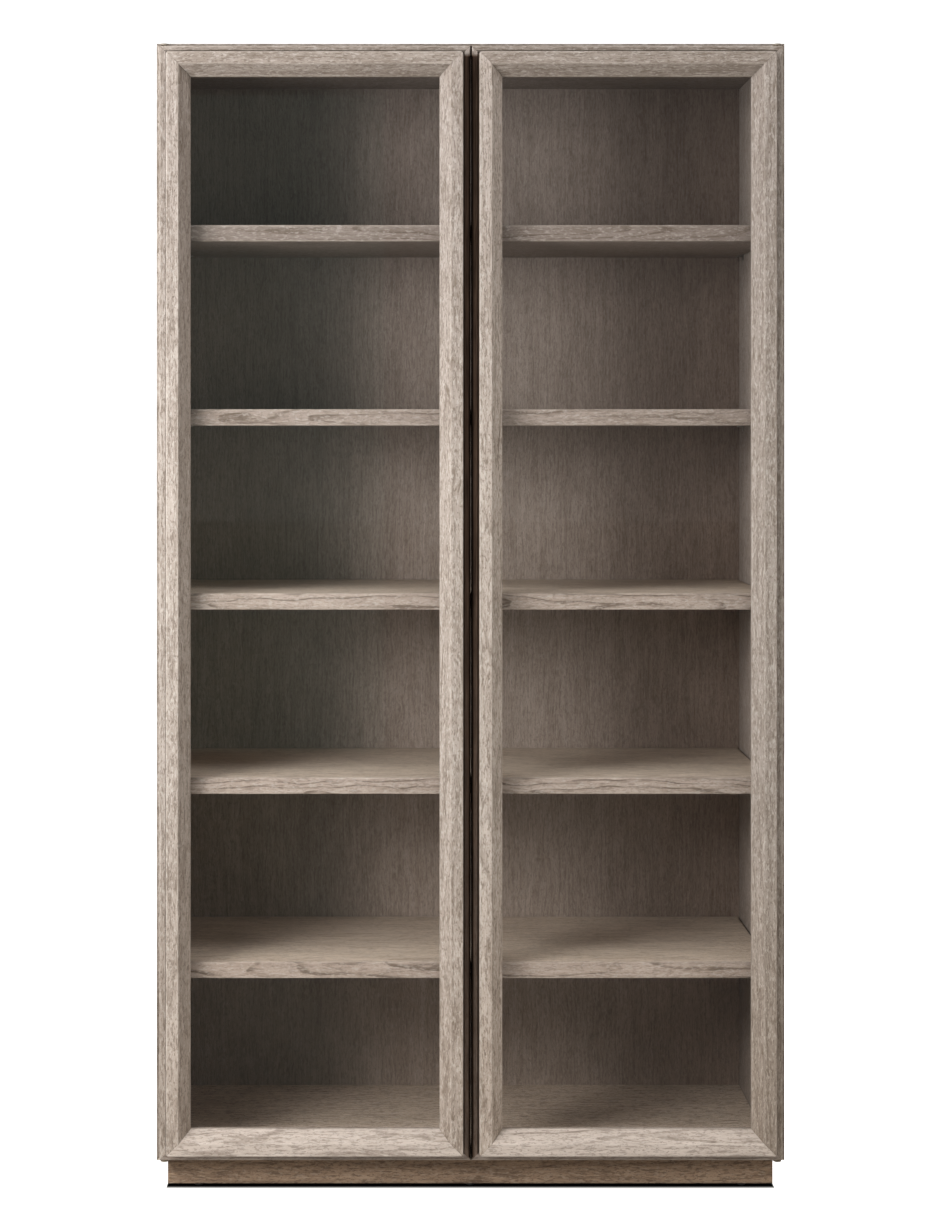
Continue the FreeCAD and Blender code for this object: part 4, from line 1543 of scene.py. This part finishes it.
@dataclass
class PackedFinishes:
    """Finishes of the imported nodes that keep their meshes."""

    glass: ClearGlass = ClearGlass("clear_glass")
    steel: HardFinish = HardFinish("bronzed_steel", (0.40, 0.34, 0.28), (0.30, 0.25, 0.20), 0.4)
    plated: HardFinish = HardFinish("plated_steel", (0.62, 0.61, 0.59), (0.45, 0.44, 0.42))
    magnet: HardFinish = HardFinish("magnet_steel", (0.33, 0.33, 0.34), (0.22, 0.22, 0.23))
    brass: HardFinish = HardFinish("bush_brass", (0.60, 0.43, 0.20), (0.45, 0.31, 0.13))
    plastic: HardFinish = HardFinish("black_plastic", (0.018, 0.018, 0.019),
                                     (0.028, 0.028, 0.03), 0.0, 0.4, 0.62, 1400)
    rubber: HardFinish = HardFinish("soft_rubber", (0.55, 0.54, 0.51), (0.42, 0.41, 0.39),
                                    0.0, 0.45, 0.7, 1600)

    def by_slot(self) -> dict[str, bpy.types.Material]:
        """Build one material for each of the record's slots but the oak."""
        bare = LimedOak("bare_timber", Grain.ACROSS, heart_of(31), 0.8, lime=0.1, pores=0.45,
                        pale=(0.50, 0.40, 0.29), deep=(0.36, 0.27, 0.18))
        made = {"bare_timber": bare.material(), "clear_glass": self.glass.material()}
        for finish in (self.steel, self.plated, self.magnet, self.brass, self.plastic,
                       self.rubber):
            made[finish.name] = finish.material()
        return made

    def dress(self, replaced: Sequence[str], finishes: dict[str, LimedOak]) -> None:
        """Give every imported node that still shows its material.

        Args:
            replaced: names of the nodes that new pieces stand for.
            finishes: oak finishes by node name, for the back panel.
        """
        materials = self.by_slot()
        bead_oak = {
            Grain.UPRIGHT: LimedOak("limed_oak_upright_beads", Grain.UPRIGHT, heart_of(41)),
            Grain.ACROSS: LimedOak("limed_oak_level_beads", Grain.ACROSS, heart_of(42)),
        }
        made_beads = {grain: oak.material() for grain, oak in bead_oak.items()}
        for name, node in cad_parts.items():
            if name in replaced:
                continue
            for number, slot in enumerate(node.material_slots):
                wanted = slot.material.name.split(".")[0] if slot.material else ""
                if wanted in materials:
                    slot.material = materials[wanted]
                elif name in finishes:
                    slot.material = finishes[name].material()
                else:
                    level = name.endswith(("bead_top", "bead_bottom", "rail"))
                    slot.material = made_beads[Grain.ACROSS if level else Grain.UPRIGHT]
                LOG.info("%s slot %d: %s", name, number, slot.material.name)


# ---------------------------------------------------------------------------
# Studio
# ---------------------------------------------------------------------------


@dataclass(frozen=True)
class Softbox:
    """A rectangular studio light. Only a mirrored one shows in polished surfaces."""

    name: str
    place: Point
    aim: Point
    width: float
    height: float
    watts: float
    colour: Colour = (1.0, 1.0, 1.0)
    mirrored: bool = False

    def build(self) -> None:
        """Hang the light and point it."""
        lamp = bpy.data.lights.new(self.name, "AREA")
        lamp.shape = "RECTANGLE"
        lamp.size, lamp.size_y = self.width, self.height
        lamp.energy = self.watts
        lamp.color = self.colour
        holder = bpy.data.objects.new(self.name, lamp)
        bpy.context.scene.collection.objects.link(holder)
        holder.location = self.place
        gaze = Vector(self.aim) - Vector(self.place)
        holder.rotation_euler = gaze.to_track_quat("-Z", "Y").to_euler()
        holder.visible_camera = False
        holder.visible_glossy = self.mirrored
        holder.visible_transmission = False


@dataclass
class Studio:
    """Floor, lights and camera round the bookcase.

    The floor is dark under the plinth. It clears between the two distances of
    contact_fade before and behind the plinth, and contact_narrowing times nearer
    past its ends.
    """

    camera_place: Point = (-0.137, -4.2235, 1.473)
    focal_length: float = 61.67
    shift: tuple[float, float] = (0.0576, -0.1453)
    floor_size: float = 60.0
    softboxes: tuple[Softbox, ...] = (
        Softbox("key", (-2.53, -2.2, 2.02), (-0.3, -0.2, 2.02), 0.95, 1.2, 72.0),
        Softbox("key_frontal", (-2.06, -2.63, 2.1), (-0.3, -0.2, 2.1), 0.9, 0.9, 19.0),
        Softbox("key_close", (-1.2, -1.27, 1.3), (-0.3, -0.2, 1.3), 0.9, 1.0, 8.0),
        Softbox("left_high", (-2.4, -1.3, 3.0), (-0.3, -0.2, 1.2), 1.1, 1.1, 46.0),
        Softbox("right_frontal", (2.31, -3.07, 1.6), (0.3, -0.2, 1.6), 1.0, 1.6, 8.7,
                (1.0, 0.965, 0.93)),
        Softbox("right_side", (2.65, -1.05, 1.6), (0.3, -0.2, 1.6), 1.3, 1.6, 28.5,
                (1.0, 0.965, 0.90)),
        Softbox("overhead", (0.25, -1.1, 3.6), (0.0, -0.2, 1.0), 1.6, 0.8, 26.0),
        Softbox("behind", (1.2, 4.6, 2.6), (0.0, 0.2, 1.0), 3.0, 2.4, 160.0),
    )
    green_card: Softbox = Softbox("green_card", (-0.95, -4.4, 1.5), (-0.95, 0.0, 1.5), 1.5,
                                  2.6, 2.8, (0.72, 1.0, 0.86), True)
    paper: Colour = (0.82, 0.79, 0.75)
    mirrored_paper: Colour = (0.10, 0.10, 0.10)
    contact_shade: Colour = (0.004, 0.004, 0.004)
    contact_fade: tuple[float, float] = (2 * MM, 24 * MM)
    contact_narrowing: float = 6.0
    room_light: float = 0.11
    floor_glow: float = 1.2
    backdrop_light: float = 1.25

    def build(self) -> None:
        """Set up the world, the floor, the lights and the camera."""
        self.light_room()
        self.lay_floor()
        for softbox in (*self.softboxes, self.green_card):
            softbox.build()
        self.set_camera()
        bpy.context.scene.view_settings.view_transform = "Standard"

    def seen_plainly(self, sheet: NodeSheet) -> bpy.types.NodeSocket:
        """Mask that is 1 for what the camera sees straight or through clear panes."""
        path = sheet.add("ShaderNodeLightPath").outputs
        bounces = sheet.maths("ADD", path["Glossy Depth"], path["Diffuse Depth"])
        unbounced = sheet.maths("LESS_THAN", bounces, 0.5)
        through = sheet.maths("MULTIPLY", path["Is Transmission Ray"], unbounced)
        return sheet.maths("MAXIMUM", path["Is Camera Ray"], through)

    def light_room(self) -> None:
        """A dim room that the camera sees as a white backdrop."""
        world = bpy.data.worlds.new("studio_room")
        bpy.context.scene.world = world
        world.use_nodes = True
        world.node_tree.nodes.clear()
        sheet = NodeSheet(world.node_tree)
        strength = sheet.ranged(self.seen_plainly(sheet), 0.0, 1.0, self.room_light,
                                self.backdrop_light, smooth=False)
        glow = sheet.add("ShaderNodeBackground",
                         {"Color": opaque((1.0, 1.0, 1.0)), "Strength": strength})
        sheet.add("ShaderNodeOutputWorld", {"Surface": glow.outputs[0]})

    def lay_floor(self) -> None:
        """Lay a plain pale floor under the bookcase."""
        deselect_everything()
        bpy.ops.mesh.primitive_plane_add(size=self.floor_size, location=(0, 0, 0))
        floor = bpy.context.active_object
        floor.name = "studio_floor"
        made, sheet = blank_finish("studio_floor")
        mirrored = sheet.add("ShaderNodeLightPath").outputs["Is Glossy Ray"]
        clear = self.open_floor(sheet)
        shade = sheet.blend(mirrored, opaque(self.paper), opaque(self.mirrored_paper))
        shade = sheet.blend(clear, opaque(self.contact_shade), shade)
        paper = sheet.add("ShaderNodeBsdfDiffuse", {"Color": shade})
        lit = sheet.maths("MULTIPLY", self.seen_plainly(sheet), clear)
        glow = sheet.add("ShaderNodeEmission",
                         {"Color": opaque((1.0, 1.0, 1.0)),
                          "Strength": sheet.maths("MULTIPLY", lit, self.floor_glow)})
        both = sheet.add("ShaderNodeAddShader", {0: paper.outputs[0], 1: glow.outputs[0]})
        sheet.add("ShaderNodeOutputMaterial", {"Surface": both.outputs[0]})
        floor.data.materials.append(made)

    def open_floor(self, sheet: NodeSheet) -> bpy.types.NodeSocket:
        """Mask that is 0 under the plinth, where no light reaches, and 1 clear of it."""
        front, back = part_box("plinth_front"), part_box("plinth_back")
        place = sheet.add("ShaderNodeTexCoord").outputs["Object"]
        parts = sheet.add("ShaderNodeSeparateXYZ", {0: place}).outputs
        middle_y = (front[0].y + back[1].y) / 2
        beyond_x = sheet.maths("SUBTRACT", sheet.maths("ABSOLUTE", parts["X"]), front[1].x)
        beyond_x = sheet.maths("MULTIPLY", beyond_x, self.contact_narrowing)
        offset_y = sheet.maths("SUBTRACT", parts["Y"], middle_y)
        beyond_y = sheet.maths("SUBTRACT", sheet.maths("ABSOLUTE", offset_y),
                               back[1].y - middle_y)
        return sheet.ranged(sheet.maths("MAXIMUM", beyond_x, beyond_y), *self.contact_fade)

    def set_camera(self) -> None:
        """Place the camera square to the front, with its lens shifted."""
        lens = bpy.data.cameras.new("studio_camera")
        lens.lens = self.focal_length
        lens.sensor_width = 36.0
        lens.shift_x, lens.shift_y = self.shift
        lens.clip_start, lens.clip_end = 0.05, 100.0
        camera = bpy.data.objects.new("studio_camera", lens)
        bpy.context.scene.collection.objects.link(camera)
        camera.location = self.camera_place
        camera.rotation_euler = (math.pi / 2, 0, 0)
        bpy.context.scene.camera = camera


# ---------------------------------------------------------------------------
# Assembly
# ---------------------------------------------------------------------------


def main() -> None:
    """Build, dress and light the bookcase."""
    logging.basicConfig(level=logging.INFO, format="%(message)s")
    finishes = OakStock().finishes()
    Carcass().build(finishes)
    Shelves().build(finishes)
    Plinth().build(finishes)
    # The left door's hinge stile gets brown painted shade on its sloping inner side.
    GlazedDoor(Hand.LEFT, hinge_shade=MouldingStainAndShade(bevel=0.26)).build(finishes)
    GlazedDoor(Hand.RIGHT).build(finishes)
    replaced = [name for name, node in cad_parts.items() if node.hide_render]
    PackedFinishes().dress(replaced, finishes)
    Studio().build()


if __name__ == "__main__":
    main()
